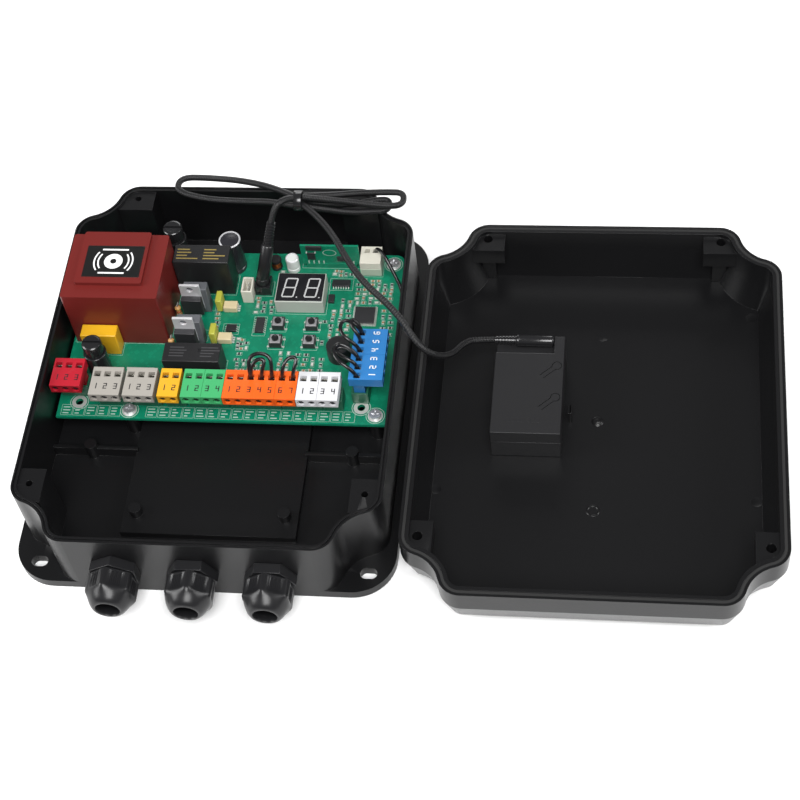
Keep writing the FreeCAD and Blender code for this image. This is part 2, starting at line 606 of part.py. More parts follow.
def make_board():
    body = new_body("circuit_board_body")
    outline = new_sketch(body, "board_outline", "board_under")
    add_polygon(outline, [(BOARD_LEFT, BOARD_FRONT), (BOARD_RIGHT, BOARD_FRONT),
                          (BOARD_RIGHT, BOARD_REAR), (BOARD_LEFT, BOARD_REAR)])
    plate = pad(body, outline, "board_thick")
    middle = number(f"({BOARD_FRONT} + {BOARD_REAR}) / 2")
    rear_edges = edges_where(plate, lambda e: is_upright(e) and e.Vertexes[0].Y > middle)
    round_edges(body, "board_rear_corners", plate, rear_edges, "board_corner")
    holes = new_sketch(body, "board_holes", BOARD_TOP)
    for x, y in board_screw_places():
        add_circle(holes, x, y, "board_hole")
    add_circle(holes, f"{BOARD_LEFT} + 10.2", f"{BOARD_FRONT} + 8.9", "board_hole")
    add_circle(holes, f"{BOARD_RIGHT} - 12.5", f"{BOARD_FRONT} + 9.7", "board_hole")
    pocket(body, holes, "board_thick")
    node(body, "circuit_board")
    screws = []
    for index, (x, y) in enumerate(board_screw_places()):
        tag = f"board_screw_{index + 1}"
        shank = cylinder(f"{tag}_shank", "board_screw", "board_thick + 8",
                         (x, y, f"{BOARD_TOP} - board_thick - 8"))
        head = cylinder(f"{tag}_head", "screw_head", "1.8", (x, y, BOARD_TOP))
        slot = box(f"{tag}_slot", ("0.8", "3.6", "1"),
                   (f"{x} - 0.4", f"{y} - 1.8", f"{BOARD_TOP} + 1.1"))
        cross = box(f"{tag}_cross", ("3.6", "0.8", "1"),
                    (f"{x} - 1.8", f"{y} - 0.4", f"{BOARD_TOP} + 1.1"))
        screws.append(cut(tag, fuse(f"{tag}_solid", [shank, head]), [slot, cross]))
    node(group("board_screw_group", screws), "board_screws")


def block(name, x, y, size, up="0"):
    """A box that stands on the board, placed from the board's corner."""
    left, front = on_board(x, y)
    return box(name, size, (left, front, f"{BOARD_TOP} + {up}"))


def drum(name, x, y, radius, tall, up="0"):
    """A cylinder that stands on the board, placed from the board's corner."""
    middle_x, middle_y = on_board(x, y)
    return cylinder(name, radius, tall, (middle_x, middle_y, f"{BOARD_TOP} + {up}"))


def make_transformer():
    body = new_body("transformer_body")
    left, front = on_board("core_x", "core_y")
    outline = new_sketch(body, "transformer_outline", BOARD_TOP)
    right, rear = f"({left} + core_wide)", f"({front} + core_long)"
    add_polygon(outline, [(left, front), (right, front), (right, rear), (left, rear)])
    pad(body, outline, "core_high")
    raised = new_sketch(body, "plateau_outline", f"{BOARD_TOP} + core_high")
    inner = f"({left} + 6)"
    add_polygon(raised, [(inner, f"{rear} - plateau_long"),
                         (f"{inner} + plateau_wide", f"{rear} - plateau_long"),
                         (f"{inner} + plateau_wide", rear), (inner, rear)])
    top = pad(body, raised, "plateau_high")
    round_edges(body, "transformer_rounds", top, edges_where(top, is_upright), "case_round")
    cavity = new_sketch(body, "core_cavity", f"{BOARD_TOP} + core_high - potting_wall")
    wall = "potting_wall"
    add_polygon(cavity, [(f"{left} + {wall}", f"{front} + {wall}"),
                         (f"{right} - {wall}", f"{front} + {wall}"),
                         (f"{right} - {wall}", f"{rear} - {wall}"),
                         (f"{left} + {wall}", f"{rear} - {wall}")])
    pocket(body, cavity, "core_high - potting_wall")
    node(body, "transformer_case")
    core = block("core_block", "core_x + potting_wall + 0.2", "core_y + potting_wall + 0.2",
                 ("core_wide - 2 * potting_wall - 0.4", "core_long - 2 * potting_wall - 0.4",
                  "core_high - potting_wall - 0.4"), "0.1")
    node(core, "transformer_core")


def make_fuses():
    sockets = []
    for index, word in enumerate(("front", "rear")):
        x, y = f"fuse_{word}_x", f"fuse_{word}_y"
        shell = drum(f"fuse_{word}_shell", x, y, "fuse_radius", "fuse_high")
        bore = drum(f"fuse_{word}_bore", x, y, "fuse_bore", "fuse_high", "1.5")
        sockets.append(cut(f"fuse_{word}_socket", shell, [bore]))
        head = drum(f"fuse_{word}_head", x, y, "cap_radius", "cap_high - cap_lift",
                    "fuse_high + cap_lift")
        stem = drum(f"fuse_{word}_stem", x, y, "fuse_bore - running", "8 + cap_lift",
                    "fuse_high - 8")
        inside = drum(f"fuse_{word}_inside", x, y, "cartridge_radius + 0.1", "8.5",
                      "fuse_high - 8.5")
        left, front = on_board(x, y)
        slot = box(f"fuse_{word}_slot", ("2 * cap_radius + 1", "1.3", "2"),
                   (f"{left} - cap_radius - 0.5", f"{front} - 0.65",
                    f"{BOARD_TOP} + fuse_high + cap_high - 1.4"))
        cap = cut(f"fuse_{word}_cap", fuse(f"fuse_{word}_cap_solid", [head, stem]), [inside, slot])
        cartridge = drum(f"fuse_{word}_cartridge", x, y, "cartridge_radius", "cartridge_long", "2")
        node(group(f"fuse_{word}_pair", [cap, cartridge]), f"fuse_cap_{index + 1}")
    node(group("fuse_socket_group", sockets), "fuse_sockets")


def make_power_parts():
    node(block("xcap_block", "xcap_x", "xcap_y", ("xcap_wide", "xcap_long", "xcap_high")),
         "suppression_capacitor")
    node(block("relay_block", "relay_x", "relay_y", ("relay_long", "relay_wide", "relay_high")),
         "relay_front")
    node(block("tall_relay_block", "tall_relay_x", "tall_relay_y",
               ("relay_long", "relay_wide", "tall_relay_high")), "relay_rear")
    tabs = []
    blocks = []
    for word in ("front", "rear"):
        y = f"tab_{word}_y"
        chip = block(f"triac_{word}_chip", "tab_x", f"{y} - chip_thick + tab_thick",
                     ("tab_wide", "chip_thick - tab_thick", "chip_high - chip_low"), "chip_low")
        tab = block(f"triac_{word}_tab", "tab_x", y,
                    ("tab_wide", "tab_thick", "tab_high - chip_low"), "chip_low")
        left, front = on_board("tab_x + tab_wide / 2", f"{y} + tab_thick + 1")
        eye = cylinder(f"triac_{word}_eye", "tab_hole", "tab_thick + 2",
                       (left, front, f"{BOARD_TOP} + tab_high - 3"), V(0, -1, 0))
        legs = [block(f"triac_{word}_leg_{i}", f"tab_x + tab_wide / 2 - 0.4 + {i - 1} * 2.54",
                      f"{y} - 1.6", ("0.8", "0.6", "chip_low + 0.2")) for i in range(3)]
        solid = fuse(f"triac_{word}_solid", [chip, tab] + legs)
        tabs.append(cut(f"triac_{word}", solid, [eye]))
        blocks.append(block(f"heat_block_{word}", "tab_x + 0.6", f"{y} + tab_thick + 0.1",
                            ("block_wide", "block_deep", "block_high")))
    node(group("triac_group", tabs), "triacs")
    node(group("heat_block_group", blocks), "heat_blocks")
    node(group("opto_group", [
        block(f"opto_{word}", "opto_x", f"opto_{word}_y", ("opto_wide", "opto_long", "opto_high"))
        for word in ("front", "rear")]), "optocouplers")
    node(group("can_group", [
        drum("bulk_can", "can_x", "can_y", "can_radius", "can_high"),
        drum("small_can", "small_can_x", "small_can_y", "small_can_radius", "small_can_high"),
    ]), "electrolytic_capacitors")


def make_signal_parts():
    radio = block("radio_plate", "radio_x", "radio_y", ("radio_wide", "radio_thick", "radio_high"),
                  "radio_up")
    strip = block("radio_strip", "radio_x + 2", "radio_y - 0.6",
                  ("radio_wide - 4", "2.4", "radio_up + 1"))
    node(fuse("radio_fused", [radio, strip]), "radio_board")
    aerial = block("aerial_block", "aerial_x", "aerial_y",
                   ("aerial_wide", "aerial_long", "aerial_high"))
    pins = [block(f"aerial_eye_{i}", f"aerial_x + 1.9 + {i} * 4.2", "aerial_y + 7",
                  ("2.5", "2.5", "6"), "aerial_high - 5") for i in range(2)]
    node(cut("aerial_cut", aerial, pins), "antenna_connector")
    sensor = block("sensor_block", "sensor_x", "sensor_y",
                   ("sensor_wide", "sensor_long", "sensor_high"))
    well = block("sensor_well", "sensor_x + 0.8", "sensor_y + 0.8",
                 ("sensor_wide - 1.6", "sensor_long - 1.6", "sensor_high"), "1.5")
    node(cut("sensor_cut", sensor, [well]), "sensor_connector")
    socket = block("socket_block", "socket_x - socket_side / 2", "socket_y - socket_side / 2",
                   ("socket_side", "socket_side", "socket_high"))
    bore = drum("socket_bore_hole", "socket_x", "socket_y", "socket_bore", "socket_high", "1")
    node(cut("socket_cut", socket, [bore]), "cable_socket")
    node(block("display_block", "display_x", "display_y",
               ("display_wide", "display_long", "display_high")), "digit_display")
    node(drum("buzzer_drum", "buzzer_x", "buzzer_y", "buzzer_radius", "buzzer_high"), "buzzer")
    node(block("chip_block", "chip_x", "chip_y", ("chip_side", "chip_side", "chip_tall")),
         "controller_chip")
    places = [("76.5", "52.9", "5.0", "4.0"), ("91.0", "52.6", "4.2", "9.0"),
              ("126.5", "82.2", "9.0", "4.0"), ("125.6", "72.0", "3.0", "4.8")]
    node(group("logic_group", [
        block(f"logic_{i}", x, y, (wide, long, "1.6"))
        for i, (x, y, wide, long) in enumerate(places)]), "logic_chips")


def make_keys():
    housings = []
    places = [("key_left_x", "key_rear_y"), ("key_right_x", "key_rear_y"),
              ("key_left_x", "key_front_y"), ("key_right_x", "key_front_y")]
    for index, (x, y) in enumerate(places):
        tag = f"key_{index + 1}"
        shell = block(f"{tag}_shell", f"{x} - key_side / 2", f"{y} - key_side / 2",
                      ("key_side", "key_side", "key_high"))
        room = drum(f"{tag}_room", x, y, "key_foot + running",
                    "key_high - key_plate - key_floor", "key_floor")
        eye = drum(f"{tag}_eye", x, y, "key_stem + running", "key_plate + 1",
                   "key_high - key_plate - 0.5")
        housings.append(cut(f"{tag}_housing", shell, [room, eye]))
        low = "(key_floor + key_travel + 0.1)"
        foot = drum(f"{tag}_foot", x, y, "key_foot",
                    f"key_high - key_plate - 0.1 - {low}", low)
        stem = drum(f"{tag}_stem", x, y, "key_stem", f"key_top - {low}", low)
        node(fuse(f"{tag}_plunger", [foot, stem]), f"button_{index + 1}")
    node(group("key_group", housings), "button_housings")


# ------------------------------------------------------------------- terminals

PINS = {"red": (3,), "grey_1": (3,), "grey_2": (3,), "yellow": (2,), "green": (2, 2),
        "orange": (5, 2), "white": (2, 2), "blue": (3, 3)}
GAPS = {"red": "edge_gap", "grey_1": "gap_red", "grey_2": "gap_grey", "yellow": "gap_yellow",
        "green": "gap_green", "orange": "gap_colour", "white": "2 * gap_colour"}


def plug_row():
    """Left edge of each colour in the row, from the board's left edge."""
    edges = {}
    used = "0"
    for colour, gap in GAPS.items():
        used = f"{used} + {gap}"
        edges[colour] = f"({used})"
        used = f"{used} + {sum(PINS[colour])} * pitch"
    return edges


def plug_solid(name, pins, left, front, turned=False):
    """Pluggable terminal block: an overhanging head on a stem, with wire pockets and screws.

    left and front are measured from the board's corner. A turned block faces +X and its
    width runs along Y.
    """
    wide = f"({pins} * pitch - 0.12)"

    def part(tag, across, along, tall, up, a, b):
        # a runs across the block from its front face backwards, b along its pins
        if turned:
            return block(f"{name}_{tag}", f"{left} + plug_deep - ({a}) - ({across})",
                         f"{front} + {b}", (across, along, tall), up)
        return block(f"{name}_{tag}", f"{left} + {b}", f"{front} + {a}",
                     (along, across, tall), up)
    head = part("head", "plug_deep", wide, "plug_block", "plug_top - plug_block", "0", "0.06")
    stem_at = "plug_deep - stem_in - stem_deep"
    stem = part("stem", "stem_deep", f"{wide} - 2 * header_wall - 2 * plug_clear",
                "plug_top - 2 * plug_clear - 1.5", "2 * plug_clear + 1", stem_at,
                "0.06 + header_wall + plug_clear")
    tools = []
    for pin in range(pins):
        along = f"({pin} + 0.5) * pitch"
        tools.append(part(f"pocket_{pin}", "pocket_side", "pocket_side", "pocket_deep + 1",
                          "plug_top - pocket_deep", "plug_deep - 2.4 - pocket_side",
                          f"{along} - pocket_side / 2"))
        tools.append(part(f"contact_{pin}", "contact_side", "contact_side", "8", "0",
                          f"{stem_at} + (stem_deep - contact_side) / 2",
                          f"{along} - contact_side / 2"))
        x = f"{left} + plug_deep + 1" if turned else f"{left} + {along}"
        y = f"{front} + {along}" if turned else f"{front} - 1"
        at = on_board(x, y)
        axis = V(-1, 0, 0) if turned else V(0, 1, 0)
        tools.append(cylinder(f"{name}_screw_{pin}", "1.7", "2.6",
                              (at[0], at[1], f"{BOARD_TOP} + plug_top - plug_block / 2"), axis))
    return cut(name, fuse(f"{name}_solid", [head, stem]), tools)


def header_solid(name, pins, left, front, turned=False):
    """Socket on the board: a low trough round the plug's stem, with one pin per way."""
    wide = f"({pins} * pitch - 0.12)"
    deep = "(stem_deep + 2 * header_wall + 2 * plug_clear)"
    at = "(plug_deep - stem_in - stem_deep - header_wall - plug_clear)"

    def part(tag, across, along, tall, up, a, b):
        if turned:
            return block(f"{name}_{tag}", f"{left} + plug_deep - ({a}) - ({across})",
                         f"{front} + {b}", (across, along, tall), up)
        return block(f"{name}_{tag}", f"{left} + {b}", f"{front} + {a}",
                     (along, across, tall), up)
    shell = part("shell", deep, wide, "header_up", "0", at, "0.06")
    room = part("room", f"{deep} - 2 * header_wall", f"{wide} - 2 * header_wall",
                "header_up", "1", f"{at} + header_wall", "0.06 + header_wall")
    trough = cut(f"{name}_trough", shell, [room])
    posts = [part(f"post_{pin}", "pin_side", "pin_side", "6.5", "0.5",
                  f"{at} + ({deep} - pin_side) / 2", f"({pin} + 0.5) * pitch - pin_side / 2")
             for pin in range(pins)]
    return fuse(name, [trough] + posts)


def make_terminals():
    headers = []
    for colour, left in plug_row().items():
        front = "row_front + red_front" if colour == "red" else "row_front"
        solids = []
        used = 0
        for index, pins in enumerate(PINS[colour]):
            at = f"{left} + {used} * pitch"
            solids.append(plug_solid(f"plug_{colour}_{index + 1}", pins, at, front))
            headers.append(header_solid(f"header_{colour}_{index + 1}", pins, at, front))
            used += pins
        plug = solids[0] if len(solids) == 1 else group(f"plug_{colour}_pair", solids)
        node(plug, f"plug_{colour}")
    left = f"({BOARD_WIDE} - blue_margin - plug_deep)"
    solids = []
    for index, pins in enumerate(PINS["blue"]):
        front = f"blue_front + {3 * index} * pitch"
        solids.append(plug_solid(f"plug_blue_{index + 1}", pins, left, front, True))
        headers.append(header_solid(f"header_blue_{index + 1}", pins, left, front, True))
    node(group("plug_blue_pair", solids), "plug_blue")
    node(group("header_group", headers), "terminal_headers")


# ---------------------------------------------------------------- wire loops

def arch(first, last, rise, lean):
    """Round wire that leaves one pocket, arches over and enters another.

    Its line is a B-spline on six poles. rise lifts the two at its crown, lean shifts them.
    """
    radius = number("jumper_radius")
    up = V(0, 0, 1)
    spread = (last - first) * 0.25
    crown = lean + up * rise
    upright = up * number("jumper_upright")
    curve = Part.BSplineCurve()
    curve.buildFromPoles([first, first + upright, first - spread + crown,
                          last + spread + crown, last + upright, last], False, 3)
    ring = Part.Wire([Part.Circle(first, up, radius).toShape()])
    return Part.Wire([curve.toShape()]).makePipeShell([ring], True, False)


def rounded_path(points, report=""):
    """Straight runs joined by tangent arcs, each as large as its two runs allow."""
    edges = []
    radii = []
    here = points[0]
    for before, corner, after in zip(points, points[1:], points[2:]):
        into, out = corner - before, after - corner
        turn = into.getAngle(out)
        run = min(into.Length, out.Length)
        back = 0.45 * run
        radii.append(back / math.tan(turn / 2))
        one = corner - into.normalize() * back
        two = corner + out.normalize() * back
        bisector = (two - corner) + (one - corner)
        away = radii[-1] / math.cos(turn / 2) - radii[-1]
        middle = corner + bisector.normalize() * away
        edges.append(Part.LineSegment(here, one).toShape())
        edges.append(Part.Arc(one, middle, two).toShape())
        here = two
    edges.append(Part.LineSegment(here, points[-1]).toShape())
    if report:
        print(report, "smallest bend radius", round(min(radii), 1),
              "length", round(sum(e.Length for e in edges), 1))
    return Part.Wire(edges)


def tube(points, radius, report=""):
    path = rounded_path(points, report)
    aim = points[1] - points[0]
    ring = Part.Wire([Part.Circle(points[0], aim, radius).toShape()])
    solid = path.makePipeShell([ring], True, False)
    wanted = math.pi * radius ** 2 * path.Length
    if abs(solid.Volume - wanted) > 0.02 * wanted:
        raise RuntimeError(f"{report or 'wire'}: volume {solid.Volume:.1f}, not {wanted:.1f}")
    return solid


def shape_node(label, shape):
    feature = doc.addObject("Part::Feature", label)
    feature.Shape = shape
    return node(feature, label)


def pocket_point(colour, pin):
    """Middle of the mouth of a wire pocket."""
    left = plug_row()[colour]
    x, y = on_board(f"{left} + ({pin} + 0.5) * pitch",
                    "row_front + plug_deep - 2.4 - pocket_side / 2")
    return V(number(x), number(y), number(f"{BOARD_TOP} + plug_top - pocket_deep + 0.2"))


def blue_point(pin):
    x, y = on_board(f"{BOARD_WIDE} - blue_margin - plug_deep + 2.4 + pocket_side / 2",
                    f"blue_front + ({pin} + 0.5) * pitch")
    return V(number(x), number(y), number(f"{BOARD_TOP} + plug_top - pocket_deep + 0.2"))


def make_jumpers():
    orange = [arch(pocket_point("orange", 2), pocket_point("orange", 4), 14.4, V(0, 7, 0)),
              arch(pocket_point("orange", 5), pocket_point("orange", 6), 12.0, V(3, 7, 0))]
    shape_node("orange_jumpers", Part.makeCompound(orange))
    blue = [arch(blue_point(0), blue_point(2), 11.0, V(-12, 5, 0)),
            arch(blue_point(3), blue_point(5), 12.0, V(-10, 3, 0))]
    shape_node("blue_jumpers", Part.makeCompound(blue))


# --------------------------------------------------------- module, cable, wire

def make_module():
    x = f"({LID_X} - module_left_of_middle)"
    y = f"({LID_Y} - module_front_of_middle)"
    base = "(lid_skin + module_lift)"
    wide, long = "module_wide", "module_long"
    split = f"({base} + module_high - module_cover_thick)"
    tub = box("module_tub_box", (wide, long, "module_high - module_cover_thick"), (x, y, base))
    inner = ("module_wide - 2 * module_wall", "module_long - 2 * module_wall",
             "module_high - module_cover_thick")
    room = box("module_tub_room", inner,
               (f"{x} + module_wall", f"{y} + module_wall", f"{base} + module_wall"))
    node(cut("module_tub_cut", tub, [room]), "module_tub")
    lid = box("module_cover_box", (wide, long, "module_cover_thick"), (x, y, split))
    bay = box("module_bay", ("bay_wide + 1", "bay_long + 1", "bay_deep + 1"),
              (f"{x} - 1", f"{y} + module_long - bay_long",
               f"{split} + module_cover_thick - bay_deep"))
    under = box("module_cover_room",
                ("module_wide - 2 * module_wall", "module_long - 2 * module_wall - bay_long",
                 "module_cover_thick - module_wall"),
                (f"{x} + module_wall", f"{y} + module_wall", split))
    node(cut("module_cover_cut", lid, [bay, under]), "module_cover")
    axis_y = f"{y} + module_long - 1.6"
    axis_z = f"{split} + module_cover_thick - 1.7"
    body = cylinder("module_plug_body", "plug_radius - 0.4", "17.5",
                    (f"{x} + bay_wide - 18", axis_y, axis_z), V(1, 0, 0))
    boot = cone("module_plug_boot", "boot_tip", "plug_radius - 0.6", "11",
                (f"{x} + bay_wide - 29", axis_y, axis_z), V(1, 0, 0))
    node(fuse("module_plug_fused", [body, boot]), "module_plug")
    return V(number(f"{x} + bay_wide - 29"), number(axis_y), number(axis_z))


def make_board_plug():
    """Plug with a ribbed boot that leans back and right; gives its end and direction."""
    x, y = (number(place) for place in on_board("socket_x", "socket_y"))
    top = number(BOARD_TOP)
    radius, tip = number("plug_radius"), number("boot_tip")
    pin = Part.makeCylinder(number("socket_bore - 0.3"), number("socket_high") - 0.5,
                            V(x, y, top + 1.2))
    start = V(x, y, top + number("socket_high") + 2.0)
    collar = Part.makeCylinder(radius, 2.6, V(x, y, top + number("socket_high") + 0.3))
    aim = V(7.3, 17.0, 30.0).normalize()
    ball = Part.makeSphere(radius, start)
    barrel_long, boot_long = number("barrel_long"), number("boot_long")
    body = Part.makeCylinder(radius, barrel_long, start, aim)
    boot = Part.makeCone(radius, tip, boot_long, start + aim * barrel_long, aim)
    shape_node("board_plug", pin.fuse([collar, ball, body, boot]).removeSplitter())
    return start + aim * (barrel_long + boot_long + number("cord_gap"))


def hank(stations, thick):
    """Closed solid round a flat bunch of turns: sections across X, joined in straight runs."""
    sections = []
    for x, near, far, height in stations:
        low, high = height - thick / 2, height + thick / 2
        corners = [V(x, near, low), V(x, far, low), V(x, far, high), V(x, near, high)]
        sections.append(Part.makePolygon(corners + corners[:1]))
    return Part.makeLoft(sections, True, True)


# Centre line of the cable, from the band round the hank to the module, and of the wire
# that runs from the small connector down beside the board.
TAIL = [(29.5, 85.0, 54.0), (44.2, 72.0, 56.6), (63.2, 38.4, 54.4), (83.8, 21.1, 50.9),
        (97.4, 1.9, 44.7), (108.6, 8.5, 31.7), (114.4, 24.5, 23.4)]
LEG = [(18.4, 77.3, 59.2), (23.8, 82.2, 60.2), (28.6, 86.0, 55.4), (34.6, 88.4, 52.4),
       (41.0, 90.0, 50.4)]
WIRE = [(65.85, 76.6, 24.5), (66.1, 76.0, 29.4), (68.3, 73.1, 33.1), (71.4, 69.0, 33.6),
        (76.1, 62.8, 28.1), (81.3, 55.5, 20.5), (81.3, 43.0, 11.0), (81.3, 26.0, 8.0)]


def make_cable():
    radius = number("cable_radius")
    module_end = make_module()
    boot_end = make_board_plug()
    band = cylinder("band_drum", "band_radius", "band_wide", ("band_x", "band_y", "band_up"),
                    V(1, 0, 0))
    node(band, "cable_tie")
    leg = [boot_end] + [V(*place) for place in LEG]
    shape_node("cable_leg", tube(leg, radius, "cable_leg"))
    left = [(26.9, 84.0, 88.0, 54.0), (16.0, 87.5, 98.0, 51.0), (0.0, 88.5, 105.0, 48.5),
            (-15.0, 90.0, 108.0, 47.2), (-25.0, 92.0, 108.5, 46.6), (-33.0, 97.0, 106.5, 46.2),
            (-35.6, 100.0, 104.0, 46.2)]
    shape_node("cable_hank_left", hank(left, 4.4))
    right = [(31.1, 84.0, 88.0, 54.0), (41.0, 87.5, 94.5, 50.5), (55.0, 88.2, 98.6, 47.4),
             (70.0, 88.8, 99.6, 46.8), (76.0, 90.5, 98.6, 46.8), (79.2, 93.0, 96.6, 46.8)]
    shape_node("cable_hank_right", hank(right, 5.2))
    points = [V(*place) for place in TAIL] + [module_end - V(5.7, 0, 0), module_end]
    shape_node("cable_tail", tube(points, radius, "cable_tail"))
    wire = [V(*place) for place in WIRE]
    shape_node("antenna_wire", tube(wire, number("wire_radius"), "antenna_wire"))


# ------------------------------------------------------------------ build, check

make_case()
make_lid()
make_glands()
make_board()
make_transformer()
make_fuses()
make_power_parts()
make_signal_parts()
make_keys()
make_terminals()
make_jumpers()
make_cable()
doc.recompute()

for thing in doc.Objects:
    if {"Invalid", "Error"} & set(thing.State):
        raise RuntimeError(f"{thing.Label} is {thing.State}")
for piece in nodes:
    if piece.Shape.isNull() or not piece.Shape.isValid():
        raise RuntimeError(f"{piece.Label} has no valid shape")

os.makedirs("parts", exist_ok=True)
for piece in nodes:
    piece.Shape.exportStep(f"parts/{piece.Label}.step")
print(len(nodes), "sub-parts written")
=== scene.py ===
import math

import bmesh
import bpy
import numpy as np
from mathutils import Euler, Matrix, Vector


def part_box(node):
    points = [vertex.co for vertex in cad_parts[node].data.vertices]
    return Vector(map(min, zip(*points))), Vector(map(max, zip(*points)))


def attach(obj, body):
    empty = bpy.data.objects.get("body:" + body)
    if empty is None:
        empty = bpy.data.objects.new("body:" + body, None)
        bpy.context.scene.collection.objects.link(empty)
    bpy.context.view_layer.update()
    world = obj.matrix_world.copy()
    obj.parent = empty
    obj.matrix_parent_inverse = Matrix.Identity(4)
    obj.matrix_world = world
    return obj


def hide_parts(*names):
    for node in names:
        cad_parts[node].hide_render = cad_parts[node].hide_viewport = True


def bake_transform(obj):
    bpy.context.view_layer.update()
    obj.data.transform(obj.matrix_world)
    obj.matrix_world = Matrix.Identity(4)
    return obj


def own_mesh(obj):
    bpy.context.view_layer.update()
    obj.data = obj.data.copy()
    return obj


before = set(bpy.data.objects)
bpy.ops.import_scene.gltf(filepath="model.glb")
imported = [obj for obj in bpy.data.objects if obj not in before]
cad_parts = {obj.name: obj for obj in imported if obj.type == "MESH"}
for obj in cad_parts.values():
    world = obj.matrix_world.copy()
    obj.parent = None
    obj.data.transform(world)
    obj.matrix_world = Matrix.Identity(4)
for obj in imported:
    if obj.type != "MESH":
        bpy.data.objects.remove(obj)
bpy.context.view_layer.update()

MM = 0.001


# ---------------------------------------------------------------- studio
# A pale floor under a broad soft light above the camera and one from each side. The weak, low
# one behind draws the rims. The camera looks down on the open case from its lid's side.

def plain_finish(name, colour, roughness, **sockets):
    """One even finish: colour and roughness, with any other socket by its own name."""
    finish = bpy.data.materials.new(name)
    finish.use_nodes = True
    shader = finish.node_tree.nodes["Principled BSDF"]
    shader.inputs["Base Color"].default_value = (*colour, 1.0)
    shader.inputs["Roughness"].default_value = roughness
    for socket, value in sockets.items():
        shader.inputs[socket.replace("_", " ")].default_value = value
    finish.diffuse_color = (*colour, 1.0)
    return finish


def build_piece(name, points, faces, finish, sharp=32.0):
    """Puts an array of points (N, 3) and an array or list of faces into a mesh object."""
    mesh = bpy.data.meshes.new(name)
    mesh.from_pydata(np.asarray(points, float).tolist(), [], [list(map(int, f)) for f in faces])
    mesh.validate()
    mesh.shade_smooth()
    mesh.set_sharp_from_angle(angle=math.radians(sharp))
    mesh.materials.append(finish)
    piece = bpy.data.objects.new(name, mesh)
    bpy.context.scene.collection.objects.link(piece)
    return piece


def soft_light(name, place, aim, side, power):
    lamp = bpy.data.lights.new(name, "AREA")
    lamp.shape = "SQUARE"
    lamp.size = side
    lamp.energy = power
    light = bpy.data.objects.new(name, lamp)
    light.location = place
    away = np.array(place, float) - np.array(aim, float)
    light.rotation_euler = (math.atan2(math.hypot(away[0], away[1]), away[2]), 0.0,
                            math.atan2(away[0], -away[1]))
    bpy.context.scene.collection.objects.link(light)


floor_half = 4.0
floor = build_piece("studio_floor",
                    [(-floor_half, -floor_half, 0), (floor_half, -floor_half, 0),
                     (floor_half, floor_half, 0), (-floor_half, floor_half, 0)],
                    [(0, 1, 2, 3)], plain_finish("pale_floor", (0.97, 0.97, 0.97), 0.7))
floor.location.z = -0.0003

middle = (0.09, -0.02, 0.0)
soft_light("rear_light", (-0.1, 1.7, 0.75), middle, 0.9, 10.0)
soft_light("left_light", (-1.5, -0.3, 0.95), middle, 0.9, 25.0)
soft_light("right_light", (1.7, 0.0, 0.95), middle, 0.9, 18.0)
soft_light("front_light", (0.3, -1.1, 1.9), middle, 1.1, 56.0)

world = bpy.data.worlds.new("studio_air")
world.use_nodes = True
world.node_tree.nodes["Background"].inputs["Color"].default_value = (1.0, 1.0, 1.0, 1.0)
world.node_tree.nodes["Background"].inputs["Strength"].default_value = 0.15
bpy.context.scene.world = world
bpy.context.scene.view_settings.view_transform = "Standard"

lens = bpy.data.cameras.new("camera")
lens.lens = 80.12
lens.sensor_width = 36.0
lens.clip_start = 0.05
camera = bpy.data.objects.new("camera", lens)
camera.location = (0.194445, -0.4844, 0.714196)
camera.rotation_euler = Euler((0.606871, 0.091498, 0.094292))
bpy.context.scene.collection.objects.link(camera)
bpy.context.scene.camera = camera

# ---------------------------------------------------------------- case
# The deep lower half: a black ABS moulding with thick walls, a flange with slotted ears, and
# filled bosses for the lid's screws. Its skin is faintly grained and its edges are rounded.

def grained_plastic(name, colour, roughness, grain, depth):
    """Moulded plastic: a fine grain bumps the surface and varies its gloss a little."""
    finish = plain_finish(name, colour, roughness, Specular_IOR_Level=0.3)
    nodes, links = finish.node_tree.nodes, finish.node_tree.links
    shader = nodes["Principled BSDF"]
    place = nodes.new("ShaderNodeTexCoord")
    noise = nodes.new("ShaderNodeTexNoise")
    noise.inputs["Scale"].default_value = grain
    noise.inputs["Detail"].default_value = 4.0
    links.new(place.outputs["Object"], noise.inputs["Vector"])
    gloss = nodes.new("ShaderNodeMapRange")
    gloss.inputs["To Min"].default_value = roughness * 0.85
    gloss.inputs["To Max"].default_value = roughness * 1.15
    links.new(noise.outputs["Fac"], gloss.inputs["Value"])
    links.new(gloss.outputs["Result"], shader.inputs["Roughness"])
    bump = nodes.new("ShaderNodeBump")
    bump.inputs["Strength"].default_value = 0.35
    bump.inputs["Distance"].default_value = depth
    links.new(noise.outputs["Fac"], bump.inputs["Height"])
    links.new(bump.outputs["Normal"], shader.inputs["Normal"])
    return finish


def finish_part(node, body, finish, edge=0.25, sharp=32.0):
    """A CAD node's mesh merged into one skin, its hard edges rounded by edge millimetres."""
    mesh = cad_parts[node].data.copy()
    bm = bmesh.new()
    bm.from_mesh(mesh)
    bmesh.ops.remove_doubles(bm, verts=bm.verts, dist=1e-6)
    bmesh.ops.dissolve_limit(bm, angle_limit=math.radians(0.6), verts=bm.verts, edges=bm.edges)
    bm.to_mesh(mesh)
    bm.free()
    mesh.materials.clear()
    mesh.materials.append(finish)
    mesh.shade_smooth()
    mesh.set_sharp_from_angle(angle=math.radians(sharp))
    piece = bpy.data.objects.new(f"finished_{node}", mesh)
    bpy.context.scene.collection.objects.link(piece)
    if edge:
        bevel = piece.modifiers.new("edges", "BEVEL")
        bevel.width = edge * MM
        bevel.segments = 2
        bevel.limit_method = "ANGLE"
        bevel.angle_limit = math.radians(40.0)
        bevel.harden_normals = False
    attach(piece, body)
    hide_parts(node)
    return piece


